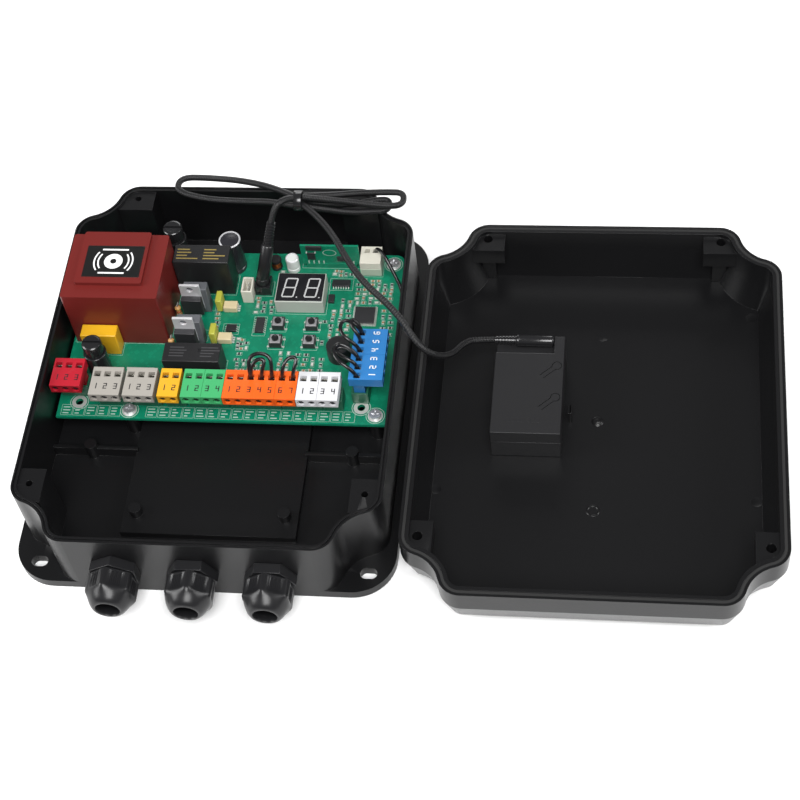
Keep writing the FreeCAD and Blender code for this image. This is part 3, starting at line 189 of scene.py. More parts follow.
black_case = grained_plastic("black_case_plastic", (0.005, 0.005, 0.0055), 0.34, 1400.0, 0.00004)
black_moulding = grained_plastic("black_small_mouldings", (0.011, 0.011, 0.012), 0.3, 2500.0,
                                 0.00002)
finish_part("base_shell", "case", black_case, 0.3, 22.0)


# ---------------------------------------------------------------- lid
# The shallow upper half, lying on its face: its own band and tapered edge, a groove with a
# rubber cord in it, and on its floor the moulding's gate mark and ejector rings.

black_lid = grained_plastic("black_lid_plastic", (0.006, 0.006, 0.0065), 0.3, 900.0, 0.00006)
black_rubber = plain_finish("black_rubber", (0.008, 0.008, 0.008), 0.6)
finish_part("lid_shell", "lid", black_lid, 0.3, 22.0)
finish_part("lid_seal", "lid", black_rubber, 0.0)


def turned(name, profile, centre, body, finish, along=(0.0, 0.0, 1.0), sides=40,
           sharp=32.0, spin=0.0):
    """A turned shape: the profile's (radius, height) pairs in mm, swept once round an axis.

    An end off the axis is closed: both by joining the two, one by a flat cap.
    """
    profile = np.array(profile, float) * MM
    if profile[0, 0] > 0 and profile[-1, 0] > 0:
        profile = np.concatenate([profile, profile[:1]])
    elif profile[0, 0] > 0:
        profile = np.concatenate([profile[:1] * (0, 1), profile])
    elif profile[-1, 0] > 0:
        profile = np.concatenate([profile, profile[-1:] * (0, 1)])
    along = np.array(along, float) / np.linalg.norm(along)
    other = np.array((1.0, 0.0, 0.0)) if abs(along[0]) < 0.9 else np.array((0.0, 1.0, 0.0))
    side = np.cross(along, other)
    side /= np.linalg.norm(side)
    up = np.cross(along, side)
    angle = np.linspace(0.0, 2.0 * math.pi, sides, endpoint=False) + spin
    ring = np.cos(angle)[:, None] * side + np.sin(angle)[:, None] * up
    points = (np.array(centre, float) + profile[:, None, :1] * ring
              + profile[:, None, 1:] * along).reshape(-1, 3)
    i = np.arange(len(profile) - 1)[:, None] * sides
    j = np.arange(sides)[None, :]
    k = (j + 1) % sides
    faces = np.stack([i + j, i + k, i + sides + k, i + sides + j], axis=-1).reshape(-1, 4)
    piece = build_piece(name, points, faces, finish, sharp)
    bm = bmesh.new()
    bm.from_mesh(piece.data)
    bmesh.ops.remove_doubles(bm, verts=bm.verts, dist=1e-7)
    bmesh.ops.recalc_face_normals(bm, faces=bm.faces)
    bm.to_mesh(piece.data)
    bm.free()
    piece.data.set_sharp_from_angle(angle=math.radians(sharp))
    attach(piece, body)
    return piece


lid_low, lid_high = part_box("lid_shell")
lid_middle = ((lid_low.x + lid_high.x) / 2, (lid_low.y + lid_high.y) / 2)
lid_floor = lid_low.z + 2.5 * MM
gate_mark = [(0.0, 0.25), (0.9, 0.3), (1.3, 0.55), (2.0, 0.6), (2.3, 0.35), (2.6, 0.3),
             (2.9, 0.05), (3.0, -0.3), (0.0, -0.3)]
ring_mark = [(0.0, -0.3), (0.0, 0.06), (2.1, 0.06), (2.4, 0.3), (2.9, 0.3), (3.2, 0.05),
             (3.3, -0.3)]
faint_mark = [(0.0, -0.3), (0.0, 0.03), (2.4, 0.03), (2.5, 0.07), (2.8, 0.07), (2.9, -0.3)]
for label, east, north, outline in (
        ("gate", -0.2, 7.2, gate_mark), ("ring", -0.8, -42.7, ring_mark),
        ("faint_ring", 0.8, 57.3, faint_mark), ("ejector_left", -74.7, -33.7, faint_mark),
        ("ejector_rear", 73.3, 71.3, faint_mark), ("ejector_front", 74.0, -35.2, faint_mark)):
    turned(f"lid_{label}_mark", outline,
           (lid_middle[0] + east * MM, lid_middle[1] + north * MM, lid_floor), "lid",
           black_lid)


# ---------------------------------------------------------------- cable glands
# Nylon glands: a hexagon body screwed through the wall against a locknut, and a dome nut that
# squeezes a rubber seal onto the cable. The nut is hexagonal at its foot and ribbed on its flats.

def dome_nut(index, turn):
    """A dome nut as one closed skin, outside and inside.

    Outside, the radius at an angle is that of a rounded hexagon at the foot and blends into a
    circle towards the mouth. Small ribs are a cosine of the angle on the flats.
    """
    low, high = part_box(f"dome_nut_{index}")
    centre = ((low.x + high.x) / 2, (low.z + high.z) / 2)
    foot = high.y
    half_flat, crest, long = 10.5, 11.75, 16.0
    sides = 180
    angle = np.linspace(0.0, 2.0 * math.pi, sides, endpoint=False)
    sector = (angle + math.pi / 6) % (math.pi / 3) - math.pi / 6
    hexagon = np.minimum(half_flat / np.cos(sector), crest)
    flat = np.clip(1.0 - (np.abs(sector) / math.radians(22.0)) ** 4, 0.0, 1.0)
    ribs = 0.28 * flat * (0.5 - 0.5 * np.cos(angle * 72.0))
    station = np.array([0.0, 0.0, 0.5, 1.3, 1.4, 8.2, 8.6, 9.6, 10.6, 11.6, 12.8, 13.8, 14.8,
                        15.6, 16.0, 15.9, 15.2, 13.2, 10.6, 9.6, 9.5, 0.5, 0.0])
    circle = np.array([7.75, 10.0, 10.5, 10.5, 10.5, 10.5, 10.5, 10.4, 10.15, 9.75, 9.15, 8.6,
                       7.9, 7.1, 6.3, 5.7, 5.4, 5.4, 6.7, 7.68, 7.68, 7.68, 7.75])
    hexed = np.array([0, 0.9, 1, 1, 1, 1, 1, 0.75, 0.35, 0.1, 0, 0, 0, 0, 0, 0, 0, 0, 0, 0, 0,
                      0, 0])
    ribbed = np.zeros(len(station))
    ribbed[4:6] = 1.0
    radius = (circle[:, None] + hexed[:, None] * (hexagon[None, :] - half_flat)
              - ribbed[:, None] * ribs[None, :])
    place = angle[None, :] + math.radians(turn)
    points = np.stack([centre[0] + MM * radius * np.cos(place),
                       foot - MM * station[:, None] + 0 * radius,
                       centre[1] + MM * radius * np.sin(place)], axis=-1).reshape(-1, 3)
    i = np.arange(len(station) - 1)[:, None] * sides
    j = np.arange(sides)[None, :]
    k = (j + 1) % sides
    faces = np.stack([i + j, i + k, i + sides + k, i + sides + j], axis=-1).reshape(-1, 4)
    nut = build_piece(f"gland_dome_nut_{index}", points, faces, black_moulding, 40.0)
    bm = bmesh.new()
    bm.from_mesh(nut.data)
    bmesh.ops.remove_doubles(bm, verts=bm.verts, dist=1e-7)
    bmesh.ops.recalc_face_normals(bm, faces=bm.faces)
    bm.to_mesh(nut.data)
    bm.free()
    nut.data.set_sharp_from_angle(angle=math.radians(40.0))
    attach(nut, f"gland_nut_{index}")
    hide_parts(f"dome_nut_{index}")
    return centre


for number, turn in ((1, 8.0), (2, -6.0), (3, 4.0)):
    axis = dome_nut(number, turn)
    low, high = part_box(f"seal_insert_{number}")
    seal = turned(f"gland_seal_{number}",
                  [(4.6, 0.0), (5.1, 0.0), (5.5, 0.5), (5.5, 6.6), (5.2, 7.0), (4.7, 7.0),
                   (4.1, 6.3), (4.0, 5.6), (4.0, 1.2), (4.6, 0.0)],
                  (axis[0], high.y, axis[1]), f"gland_seal_{number}",
                  black_rubber, (0.0, -1.0, 0.0))
    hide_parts(f"seal_insert_{number}")
finish_part("gland_bodies", "case", black_moulding, 0.35)
finish_part("gland_locknuts", "case", black_moulding, 0.35)

# ---------------------------------------------------------------- circuit board
# Glass laminate under green solder mask, with white print, tinned rings round its holes and
# scores of surface parts soldered to it. Four screws hold it to posts in the case.

board_low, board_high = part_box("circuit_board")
BOARD_LEFT, BOARD_FRONT = board_low.x / MM, board_low.y / MM
BOARD_TOP = board_high.z / MM
BOARD_WIDE = board_high.x / MM - BOARD_LEFT
BOARD_LONG = board_high.y / MM - BOARD_FRONT


def solder_mask():
    """Green lacquer over copper: tracks are cells of a square grid, a little lighter."""
    finish = plain_finish("green_solder_mask", (0.004, 0.16, 0.085), 0.25)
    nodes, links = finish.node_tree.nodes, finish.node_tree.links
    shader = nodes["Principled BSDF"]
    place = nodes.new("ShaderNodeTexCoord")
    cells = nodes.new("ShaderNodeTexVoronoi")
    cells.distance = "MANHATTAN"
    cells.feature = "F1"
    cells.inputs["Scale"].default_value = 330.0
    links.new(place.outputs["Object"], cells.inputs["Vector"])
    ramp = nodes.new("ShaderNodeValToRGB")
    ramp.color_ramp.interpolation = "CONSTANT"
    ramp.color_ramp.elements[0].color = (0.005, 0.20, 0.108, 1.0)
    ramp.color_ramp.elements[1].position = 0.55
    ramp.color_ramp.elements[1].color = (0.004, 0.175, 0.094, 1.0)
    links.new(cells.outputs["Distance"], ramp.inputs["Fac"])
    links.new(ramp.outputs["Color"], shader.inputs["Base Color"])
    return finish


green_mask = solder_mask()
white_print = plain_finish("white_board_print", (0.34, 0.46, 0.40), 0.5)
tinned_copper = plain_finish("tinned_copper", (0.66, 0.66, 0.63), 0.4, Metallic=0.55)
bright_steel = plain_finish("bright_steel", (0.6, 0.6, 0.62), 0.32, Metallic=0.8)
finish_part("circuit_board", "case", green_mask, 0.0)
finish_part("board_screws", "case", bright_steel, 0.25)


def on_board(*places):
    """Places in mm from the board's left front corner and its top, as frame coordinates."""
    return MM * (np.array(places, float) + (BOARD_LEFT, BOARD_FRONT, BOARD_TOP))


BRICK = np.array([(x, y, z) for z in (0, 1) for y in (0, 1) for x in (0, 1)], float)
BRICK_FACES = np.array([(0, 2, 3, 1), (4, 5, 7, 6), (0, 1, 5, 4), (2, 6, 7, 3), (0, 4, 6, 2),
                        (1, 3, 7, 5)])


def bricks(name, boxes, body, finish, edge=0.12, placed=on_board):
    """Many small blocks as one mesh. Each row is x, y, z, width, length, height in mm."""
    boxes = np.array(boxes, float)
    points = boxes[:, None, :3] + BRICK[None] * boxes[:, None, 3:6]
    faces = BRICK_FACES[None] + 8 * np.arange(len(boxes))[:, None, None]
    piece = build_piece(name, placed(*points.reshape(-1, 3)), faces.reshape(-1, 4), finish)
    if edge:
        bevel = piece.modifiers.new("edges", "BEVEL")
        bevel.width = edge * MM
        bevel.segments = 2
        bevel.limit_method = "ANGLE"
    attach(piece, body)
    return piece


def frames(outlines, line):
    """Printed outlines: four thin strips round each x, y, width, length."""
    x, y, wide, long = np.array(outlines, float).T
    thick, flat = np.full_like(x, line), np.full_like(x, 0.04)
    low = np.zeros_like(x)
    strips = [(x, y, low, wide, thick, flat), (x, y + long - thick, low, wide, thick, flat),
              (x, y, low, thick, long, flat), (x + wide - thick, y, low, thick, long, flat)]
    return np.concatenate([np.stack(s, axis=-1) for s in strips])


# Which strokes of a figure eight each plain numeral uses: top, upper right, lower right,
# bottom, lower left, upper left, middle.
STROKES = {0: "abcdef", 1: "bc", 2: "abged", 3: "abgcd", 4: "fgbc", 5: "afgcd", 6: "afgedc",
           7: "abc", 8: "abcdefg", 9: "abcdfg"}


def numeral(value, x, y, tall, line):
    """Strips for one numeral, as x, y, width, length rows; x, y is its lower left corner."""
    wide, half = tall * 0.55, tall / 2
    strokes = {"a": (0, tall - line, wide, line), "b": (wide - line, half, line, half),
               "c": (wide - line, 0, line, half), "d": (0, 0, wide, line),
               "e": (0, 0, line, half), "f": (0, half, line, half),
               "g": (0, half - line / 2, wide, line)}
    return [(x + a, y + b, c, d) for a, b, c, d in (strokes[s] for s in STROKES[value])]


print_outlines = [(1.0, 44.8, 49.0, 40.5), (7.5, 37.3, 19.0, 8.2), (50.9, 23.2, 29.2, 12.6),
                  (49.2, 76.2, 29.2, 12.6), (99.4, 64.9, 26.0, 20.0), (109.8, 94.4, 30.5, 4.0),
                  (140.0, 89.4, 11.5, 12.2), (87.6, 75.8, 9.4, 9.4), (138.9, 58.4, 12.0, 12.0),
                  (74.6, 51.6, 8.2, 6.6), (89.6, 51.0, 6.6, 12.0), (125.0, 80.4, 12.0, 7.6),
                  (52.0, 47.0, 16.0, 7.0), (53.0, 66.0, 16.0, 7.0)]
print_outlines += [(x - 4.0, y - 4.0, 8.0, 8.0) for x in (102.6, 119.4) for y in (46.9, 57.7)]
legend_edges = np.linspace(2.0, 141.0, 24)
print_outlines += [(x, 1.0, 5.6, 6.2) for x in legend_edges if not 32.0 < x + 3 < 42.0]
strips = frames(print_outlines, 0.16)
marks = [(30.0, 29.0, 0.0, 14.0, 1.3, 0.04), (28.0, 25.6, 0.0, 12.0, 0.7, 0.04),
         (28.0, 23.4, 0.0, 15.0, 0.7, 0.04), (28.0, 21.2, 0.0, 15.0, 0.7, 0.04)]
chance = np.random.default_rng(7)
for x in legend_edges:
    if not 32.0 < x + 3 < 42.0:
        for row in range(3):
            marks.append((x + 0.9, 2.0 + 1.7 * row, 0.0, chance.uniform(1.6, 3.8), 0.6, 0.04))
bricks("board_print", np.concatenate([strips, marks]), "case", white_print,
       0.0)
HOLES = [(BOARD_WIDE - 5.3, BOARD_LONG - 6.0), (BOARD_WIDE - 5.3, 5.3), (36.0, 4.8),
         (6.0, BOARD_LONG - 6.0), (10.2, 8.9), (BOARD_WIDE - 12.5, 9.7)]
for number, (x, y) in enumerate(HOLES):
    turned(f"board_ring_{number + 1}", [(1.9, 0.0), (1.9, 0.06), (3.7, 0.06), (3.7, 0.0)],
           on_board((x, y, 0.0))[0], "case", tinned_copper)
    turned(f"board_ring_print_{number + 1}", [(4.3, 0.0), (4.3, 0.05), (4.6, 0.05), (4.6, 0.0)],
           on_board((x, y, 0.0))[0], "case", white_print)


# ---------------------------------------------------------------- surface parts
# Chip resistors, ceramic capacitors and small transistors between the larger parts: a body of
# ceramic with a tinned cap at each end, laid in rows where a designer would group them.

resistor_black = plain_finish("resistor_black", (0.02, 0.02, 0.022), 0.4)
ceramic_tan = plain_finish("ceramic_tan", (0.32, 0.17, 0.08), 0.45)
chip_white = plain_finish("chip_white", (0.55, 0.53, 0.48), 0.5)
chip_black = plain_finish("chip_black", (0.018, 0.018, 0.02), 0.45)


def surface_groups():
    """Places of the surface parts: blocks of rows, jittered by a seeded generator."""
    fields = [(88.0, 64.5, 99.0, 76.0, 10), (70.0, 12.5, 84.0, 22.0, 12),
              (83.0, 22.0, 99.0, 41.0, 26), (104.0, 19.0, 128.0, 42.0, 40),
              (127.0, 42.0, 138.5, 78.0, 34), (138.5, 71.5, 158.0, 88.0, 34),
              (69.0, 40.0, 73.0, 74.0, 12), (126.0, 87.5, 139.0, 93.0, 12),
              (82.0, 42.0, 89.0, 50.0, 8), (123.0, 44.0, 127.0, 62.0, 8),
              (152.5, 48.0, 159.5, 70.0, 12), (99.5, 87.0, 104.0, 93.0, 3),
              (82.0, 12.5, 128.0, 17.0, 16)]
    keep_off = np.array([(99.4, 64.9, 26.0, 20.0), (138.9, 58.4, 12.0, 12.0),
                         (128.6, 33.6, 13.2, 13.2), (89.6, 51.0, 6.6, 12.0),
                         (125.0, 80.4, 12.0, 7.6), (139.0, 89.0, 13.0, 13.0),
                         (124.4, 70.8, 5.6, 7.2), (87.6, 75.8, 9.4, 9.4),
                         (98.4, 42.6, 8.6, 8.6), (115.2, 42.6, 8.6, 8.6),
                         (98.4, 53.4, 8.6, 8.6), (115.2, 53.4, 8.6, 8.6),
                         (142.5, 10.0, 19.0, 34.0)])
    places = []
    for x0, y0, x1, y1, count in fields:
        columns = max(1, round(math.sqrt(count * (x1 - x0) / (y1 - y0))))
        rows = math.ceil(count / columns)
        for index in range(count):
            x = x0 + (x1 - x0) * (index % columns + 0.5) / columns + chance.uniform(-0.5, 0.5)
            y = y0 + (y1 - y0) * (index // columns + 0.5) / rows + chance.uniform(-0.5, 0.5)
            near = ((x > keep_off[:, 0] - 1.2) & (x < keep_off[:, 0] + keep_off[:, 2] + 1.2)
                    & (y > keep_off[:, 1] - 1.2) & (y < keep_off[:, 1] + keep_off[:, 3] + 1.2))
            if not near.any():
                places.append((x, y, int(chance.integers(0, 2)), int(chance.integers(0, 5))))
    return places


caps, bodies_by_kind, printed = [], {0: [], 1: [], 2: []}, []
for x, y, across, kind in surface_groups():
    long, wide, tall = 1.0, 1.1, 0.5
    kind = (0, 0, 1, 1, 2)[kind]
    core = (x - long / 2, y - wide / 2, 0.05, long, wide, tall)
    left = (x - long / 2 - 0.45, y - wide / 2, 0.0, 0.45, wide, tall + 0.04)
    right = (x + long / 2, y - wide / 2, 0.0, 0.45, wide, tall + 0.04)
    outline = (x - 1.5, y - 0.95, 3.0, 1.9)
    if across:
        core, left, right = ((x + b - y, y + a - x, c, e, d, h)
                             for a, b, c, d, e, h in (core, left, right))
        outline = (x - 0.95, y - 1.5, 1.9, 3.0)
    bodies_by_kind[kind].append(core)
    caps += [left, right]
    printed.append(outline)
bricks("surface_part_caps", caps, "case", tinned_copper, 0.0)
bricks("surface_resistors", bodies_by_kind[0], "case", resistor_black, 0.0)
bricks("surface_capacitors", bodies_by_kind[1], "case", ceramic_tan, 0.0)
bricks("surface_links", bodies_by_kind[2], "case", chip_white, 0.0)
bricks("surface_part_print", frames(printed, 0.12), "case", white_print, 0.0)


# ---------------------------------------------------------------- chips
# Black moulded packages on rows of bent legs: the controller with legs on all four sides, and
# the smaller drivers with legs on two.

def legs_along(x, y, span, count, out, across):
    """Two rows of legs. The rows run along Y, or along X when across is true.

    x, y is the package's middle, span its width between the rows and out a leg's reach.
    """
    pitch = 1.27 if count < 10 else 0.5
    thick = 0.4 if count < 10 else 0.24
    step = (np.arange(count) - (count - 1) / 2) * pitch
    rows = []
    for side in (-1, 1):
        foot = side * (span / 2 + out / 2) - out / 2
        rows += [(foot, s - thick / 2, 0.02, out, thick, 0.16) for s in step]
        rows += [(side * (span / 2 + 0.15) - 0.15, s - thick / 2, 0.02, 0.3, thick, 0.85)
                 for s in step]
    rows = np.array(rows)
    if across:
        rows = rows[:, [1, 0, 2, 4, 3, 5]]
    rows[:, 0] += x
    rows[:, 1] += y
    return rows


chip_legs = [legs_along(144.9, 64.4, 10.0, 24, 1.0, False),
             legs_along(144.9, 64.4, 10.0, 24, 1.0, True),
             legs_along(79.0, 54.9, 5.0, 3, 1.0, False),
             legs_along(93.1, 57.1, 4.2, 7, 1.0, False),
             legs_along(131.0, 84.2, 4.0, 7, 1.0, True),
             legs_along(127.1, 74.4, 3.0, 2, 0.8, True)]
bricks("chip_legs", np.concatenate(chip_legs), "case", tinned_copper, 0.0)
finish_part("controller_chip", "case", chip_black, 0.15)
finish_part("logic_chips", "case", chip_black, 0.15)
for number, (x, y, height) in enumerate(((141.3, 68.0, 1.4), (92.0, 60.4, 1.6),
                                         (127.6, 83.4, 1.6))):
    turned(f"chip_dot_{number + 1}", [(0.0, 0.03), (0.5, 0.03), (0.55, 0.0)],
           on_board((x, y, height))[0], "case", resistor_black, sides=16)

# ---------------------------------------------------------------- mains side
# The transformer is potted in a red case with a raised top and a black label. Beside it stand
# a yellow mains capacitor, two black fuse holders, two relays and two triacs on heat blocks.

red_potting = grained_plastic("red_potting_case", (0.13, 0.014, 0.012), 0.32, 1800.0, 0.00003)
yellow_film = plain_finish("yellow_film_case", (0.62, 0.34, 0.012), 0.35)
lime_film = plain_finish("lime_film_case", (0.42, 0.42, 0.05), 0.4)
glossy_black = plain_finish("glossy_black_plastic", (0.012, 0.012, 0.013), 0.2)
relay_black = grained_plastic("relay_black_plastic", (0.014, 0.014, 0.015), 0.38, 2500.0,
                              0.00002)
block_grey = grained_plastic("grey_heat_block", (0.10, 0.105, 0.115), 0.45, 1500.0, 0.00003)
label_black = plain_finish("label_black", (0.006, 0.006, 0.006), 0.3)
label_white = plain_finish("label_white", (0.8, 0.8, 0.8), 0.45)
gold_print = plain_finish("gold_print", (0.23, 0.17, 0.04), 0.5)
can_silver = plain_finish("can_silver", (0.72, 0.72, 0.74), 0.38, Metallic=0.5)
cream_plastic = plain_finish("cream_plastic", (0.60, 0.50, 0.31), 0.45)
lead_wire = plain_finish("tinned_lead", (0.6, 0.6, 0.58), 0.35, Metallic=0.7)

finish_part("transformer_case", "case", red_potting, 0.7)
finish_part("suppression_capacitor", "case", yellow_film, 0.5)
finish_part("relay_front", "case", relay_black, 0.4)
finish_part("relay_rear", "case", relay_black, 0.4)
finish_part("heat_blocks", "case", block_grey, 0.4)


def flat_arc(radius, line, half_angle, centre, height, turn=0.0, steps=24):
    """A flat curved band: inner and outer circle points joined, half_angle each side of turn."""
    angle = np.linspace(turn - half_angle, turn + half_angle, steps)
    rows = [np.stack([centre[0] + r * np.cos(angle), centre[1] + r * np.sin(angle),
                      np.full(steps, h)], axis=-1)
            for r, h in ((radius - line / 2, height), (radius - line / 2, height + 0.05),
                         (radius + line / 2, height + 0.05), (radius + line / 2, height))]
    points = np.stack(rows)
    i = np.arange(3)[:, None] * steps
    j = np.arange(steps - 1)[None, :]
    faces = np.stack([i + j, i + steps + j, i + steps + j + 1, i + j + 1], axis=-1)
    return points.reshape(-1, 3), faces.reshape(-1, 4)


def transformer_label():
    """A black sticker on the raised top, with a plain sign for radio: a mast between arcs."""
    case_low, case_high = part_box("transformer_case")
    top = (case_high.z / MM) - BOARD_TOP
    left = case_low.x / MM - BOARD_LEFT + 9.2
    front = case_low.y / MM - BOARD_FRONT + 11.2
    wide, long = 28.6, 19.4
    bricks("transformer_label", [(left, front, top, wide, long, 0.12)], "case",
           label_black, 0.05)
    centre = (left + wide / 2, front + long / 2)
    points, faces = [], []
    used = 0
    for side in (0.0, math.pi):
        for radius in (7.6, 9.6):
            p, f = flat_arc(radius, 0.75, 0.62, centre, top + 0.12, side)
            points.append(p)
            faces.append(f + used)
            used += len(p)
    arcs = build_piece("transformer_label_arcs", on_board(*np.concatenate(points)),
                       np.concatenate(faces), label_white)
    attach(arcs, "case")
    turned("transformer_label_disc", [(0.0, 0.06), (4.6, 0.06), (4.6, 0.0)],
           on_board((*centre, top + 0.12))[0], "case", label_white)
    turned("transformer_label_dot", [(0.0, 0.06), (1.5, 0.06), (1.5, 0.0)],
           on_board((*centre, top + 0.19))[0], "case", label_black)
    bars = [(centre[0] - 6.5, front + 2.0, top + 0.12, 13.0, 0.9, 0.05),
            (centre[0] - 6.5, front + long - 2.9, top + 0.12, 13.0, 0.9, 0.05)]
    bricks("transformer_label_bars", bars, "case", label_white, 0.0)


transformer_label()

rear_low, rear_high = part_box("relay_rear")
relay_x, relay_y = rear_low.x / MM - BOARD_LEFT, rear_low.y / MM - BOARD_FRONT
relay_top = rear_high.z / MM - BOARD_TOP
gold = [(relay_x + 1.6 + 13.5 * column, relay_y + 2.2 + 1.9 * row, relay_top,
         chance.uniform(5.0, 11.5), 0.7, 0.04) for column in range(2) for row in range(4)]
bricks("relay_rear_print", gold, "case", gold_print, 0.0)
front_low, front_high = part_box("relay_front")
vent = ((front_low.x / MM - BOARD_LEFT) + 17.5, (front_low.y / MM - BOARD_FRONT) + 7.2,
        front_high.z / MM - BOARD_TOP)
turned("relay_front_vent", [(0.0, -0.1), (0.35, -0.1), (0.45, 0.35), (0.8, 0.35), (1.0, 0.0),
                            (1.0, -0.1)], on_board(vent)[0], "case", relay_black,
       sides=20)
faint = [(vent[0] - 14.5 + 15.5 * column, vent[1] - 4.2 + 1.7 * row, vent[2],
          chance.uniform(5.0, 9.5), 0.6, 0.03) for column in range(2) for row in range(4)]
bricks("relay_front_print", faint, "case",
       plain_finish("faint_relay_print", (0.045, 0.045, 0.048), 0.35), 0.0)


def carve(piece, cutter, sharp=32.0):
    """Takes the cutter's shape out of a piece; edges over sharp degrees stay crisp."""
    modifier = piece.modifiers.new("carve", "BOOLEAN")
    modifier.object = cutter
    modifier.operation = "DIFFERENCE"
    modifier.solver = "EXACT"
    bpy.context.view_layer.update()
    done = bpy.data.meshes.new_from_object(
        piece.evaluated_get(bpy.context.evaluated_depsgraph_get()))
    piece.modifiers.clear()
    piece.data = done
    bpy.data.objects.remove(cutter)
    piece.data.set_sharp_from_angle(angle=math.radians(sharp))


def fuse_cap(index, word):
    """A screwdriver-slotted bayonet cap: a fluted skirt under a flat top with a cross slot.

    The skirt's radius is a circle less a shallow cosine, which makes its flutes.
    """
    low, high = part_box(f"fuse_cap_{index}")
    x, y = (low.x + high.x) / 2, (low.y + high.y) / 2
    top = high.z / MM
    sides, slot_half = 144, 0.65
    angle = np.linspace(0.0, 2.0 * math.pi, sides, endpoint=False)
    station = np.array([(3.7, -15.0), (3.82, -14.6), (3.82, -7.6), (4.7, -7.6), (4.9, -7.2),
                        (4.9, -1.5), (4.7, -0.6), (4.1, -0.1), (3.4, 0.0), (3.0, -0.05)])
    radius = np.repeat(station[:, :1], sides, axis=1)
    radius[4:6] -= 0.14 * (0.5 - 0.5 * np.cos(24 * angle))
    height = np.repeat(station[:, 1:], sides, axis=1)
    points = np.stack([x + MM * radius * np.cos(angle), y + MM * radius * np.sin(angle),
                       MM * (top + height)], axis=-1)
    i = np.arange(len(station) - 1)[:, None] * sides
    j = np.arange(sides)[None, :]
    k = (j + 1) % sides
    faces = np.stack([i + j, i + k, i + sides + k, i + sides + j], axis=-1).reshape(-1, 4)
    rim = len(station) * sides - sides
    loops = [list(range(rim, rim + sides)), list(range(sides))[::-1]]
    piece = build_piece(f"fuse_holder_cap_{word}", points.reshape(-1, 3), faces.tolist() + loops,
                        glossy_black, 35.0)
    cutter = build_piece("slot_cutter", (np.array((x, y, MM * top))
                         + MM * (BRICK - 0.5) * (12.0, 2 * slot_half, 2.6)), BRICK_FACES,
                         glossy_black)
    carve(piece, cutter)
    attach(piece, f"fuse_{word}")
    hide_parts(f"fuse_cap_{index}")


fuse_cap(1, "front")
fuse_cap(2, "rear")
finish_part("fuse_sockets", "case", glossy_black, 0.3)
finish_part("triacs", "case", can_silver, 0.15)
resistor_tan = plain_finish("resistor_tan", (0.5, 0.27, 0.1), 0.5)
BANDS = [(3.0, 1.53, plain_finish("band_brown", (0.3, 0.1, 0.02), 0.5)),
         (4.6, 1.27, plain_finish("band_black", (0.02, 0.02, 0.02), 0.5)),
         (5.4, 1.27, plain_finish("band_red", (0.5, 0.02, 0.01), 0.5)),
         (7.6, 1.53, plain_finish("band_gold", (0.45, 0.3, 0.05), 0.5))]
for word, y in (("front", 43.6), ("rear", 63.8)):
    bricks(f"triac_body_{word}", [(54.6, y - 3.3, 3.8, 10.4, 3.4, 10.9)], "case",
           chip_black, 0.35)
    bricks(f"film_capacitor_{word}", [(70.3, y + 1.2, 0.8, 3.0, 7.0, 8.4)], "case",
           lime_film, 0.5)
    resistor = (51.9, y - 2.0)
    turned(f"standing_resistor_{word}",
           [(0.0, 2.0), (0.9, 2.2), (1.45, 2.7), (1.5, 3.4), (1.25, 4.0), (1.2, 6.6),
            (1.5, 7.2), (1.45, 7.9), (0.9, 8.4), (0.0, 8.6)], on_board((*resistor, 0.0))[0],
           "case", resistor_tan, sides=24, sharp=70.0)
    for band, (height, wide, paint) in enumerate(BANDS):
        turned(f"resistor_band_{word}_{band}", [(wide - 0.1, height - 0.25), (wide, height - 0.2),
                                                (wide, height + 0.2), (wide - 0.1, height + 0.25)],
               on_board((*resistor, 0.0))[0], "case",
               paint, sides=24)
    bricks(f"resistor_lead_{word}", [(resistor[0] - 0.3, resistor[1] - 0.3, 0.0, 0.6, 0.6, 9.6),
                                     (resistor[0] - 0.3, resistor[1] - 0.3, 9.0, 0.6, 2.6, 0.6),
                                     (resistor[0] - 0.3, resistor[1] + 1.7, 0.0, 0.6, 0.6, 9.6)],
           "case", lead_wire, 0.12)
finish_part("optocouplers", "case", cream_plastic, 0.35)
opto_legs = [(x, y + 0.7 + 1.4 * step, 0.02, 1.2, 0.9, 0.3) for x in (72.4, 80.4)
             for y in (45.6, 65.2) for step in range(3)]
opto_legs += [(x, y + 0.7 + 1.4 * step, 0.02, 0.3, 0.9, 1.9) for x in (73.3, 80.4)
              for y in (45.6, 65.2) for step in range(3)]
bricks("optocoupler_legs", opto_legs, "case", tinned_copper, 0.0)


def vented_can(name, x, y, radius, tall, mark):
    """An aluminium can in a printed sleeve: rolled shoulder, recessed top with a vent cross."""
    place = on_board((x, y, 0.0))[0]
    turned(f"{name}_can", [(0.0, tall - 0.45), (radius - 1.0, tall - 0.45),
                           (radius - 0.75, tall - 0.05), (radius - 0.35, tall),
                           (radius - 0.05, tall - 0.35), (radius - 0.05, tall - 0.9),
                           (radius - 0.3, tall - 1.1)], place, "case", can_silver)
    turned(f"{name}_sleeve", [(radius - 0.5, tall - 0.3), (radius, tall - 0.6), (radius, 3.4),
                              (radius - 0.35, 2.9), (radius - 0.35, 2.5), (radius, 2.1),
                              (radius, 0.0), (0.0, 0.0)], place, "case", mark)
    reach = radius - 1.3
    bricks(f"{name}_vent", [(x - reach, y - 0.12, tall - 0.47, 2 * reach, 0.24, 0.1),
                            (x - 0.12, y - reach, tall - 0.47, 0.24, 2 * reach, 0.1)], "case",
           resistor_black, 0.0)


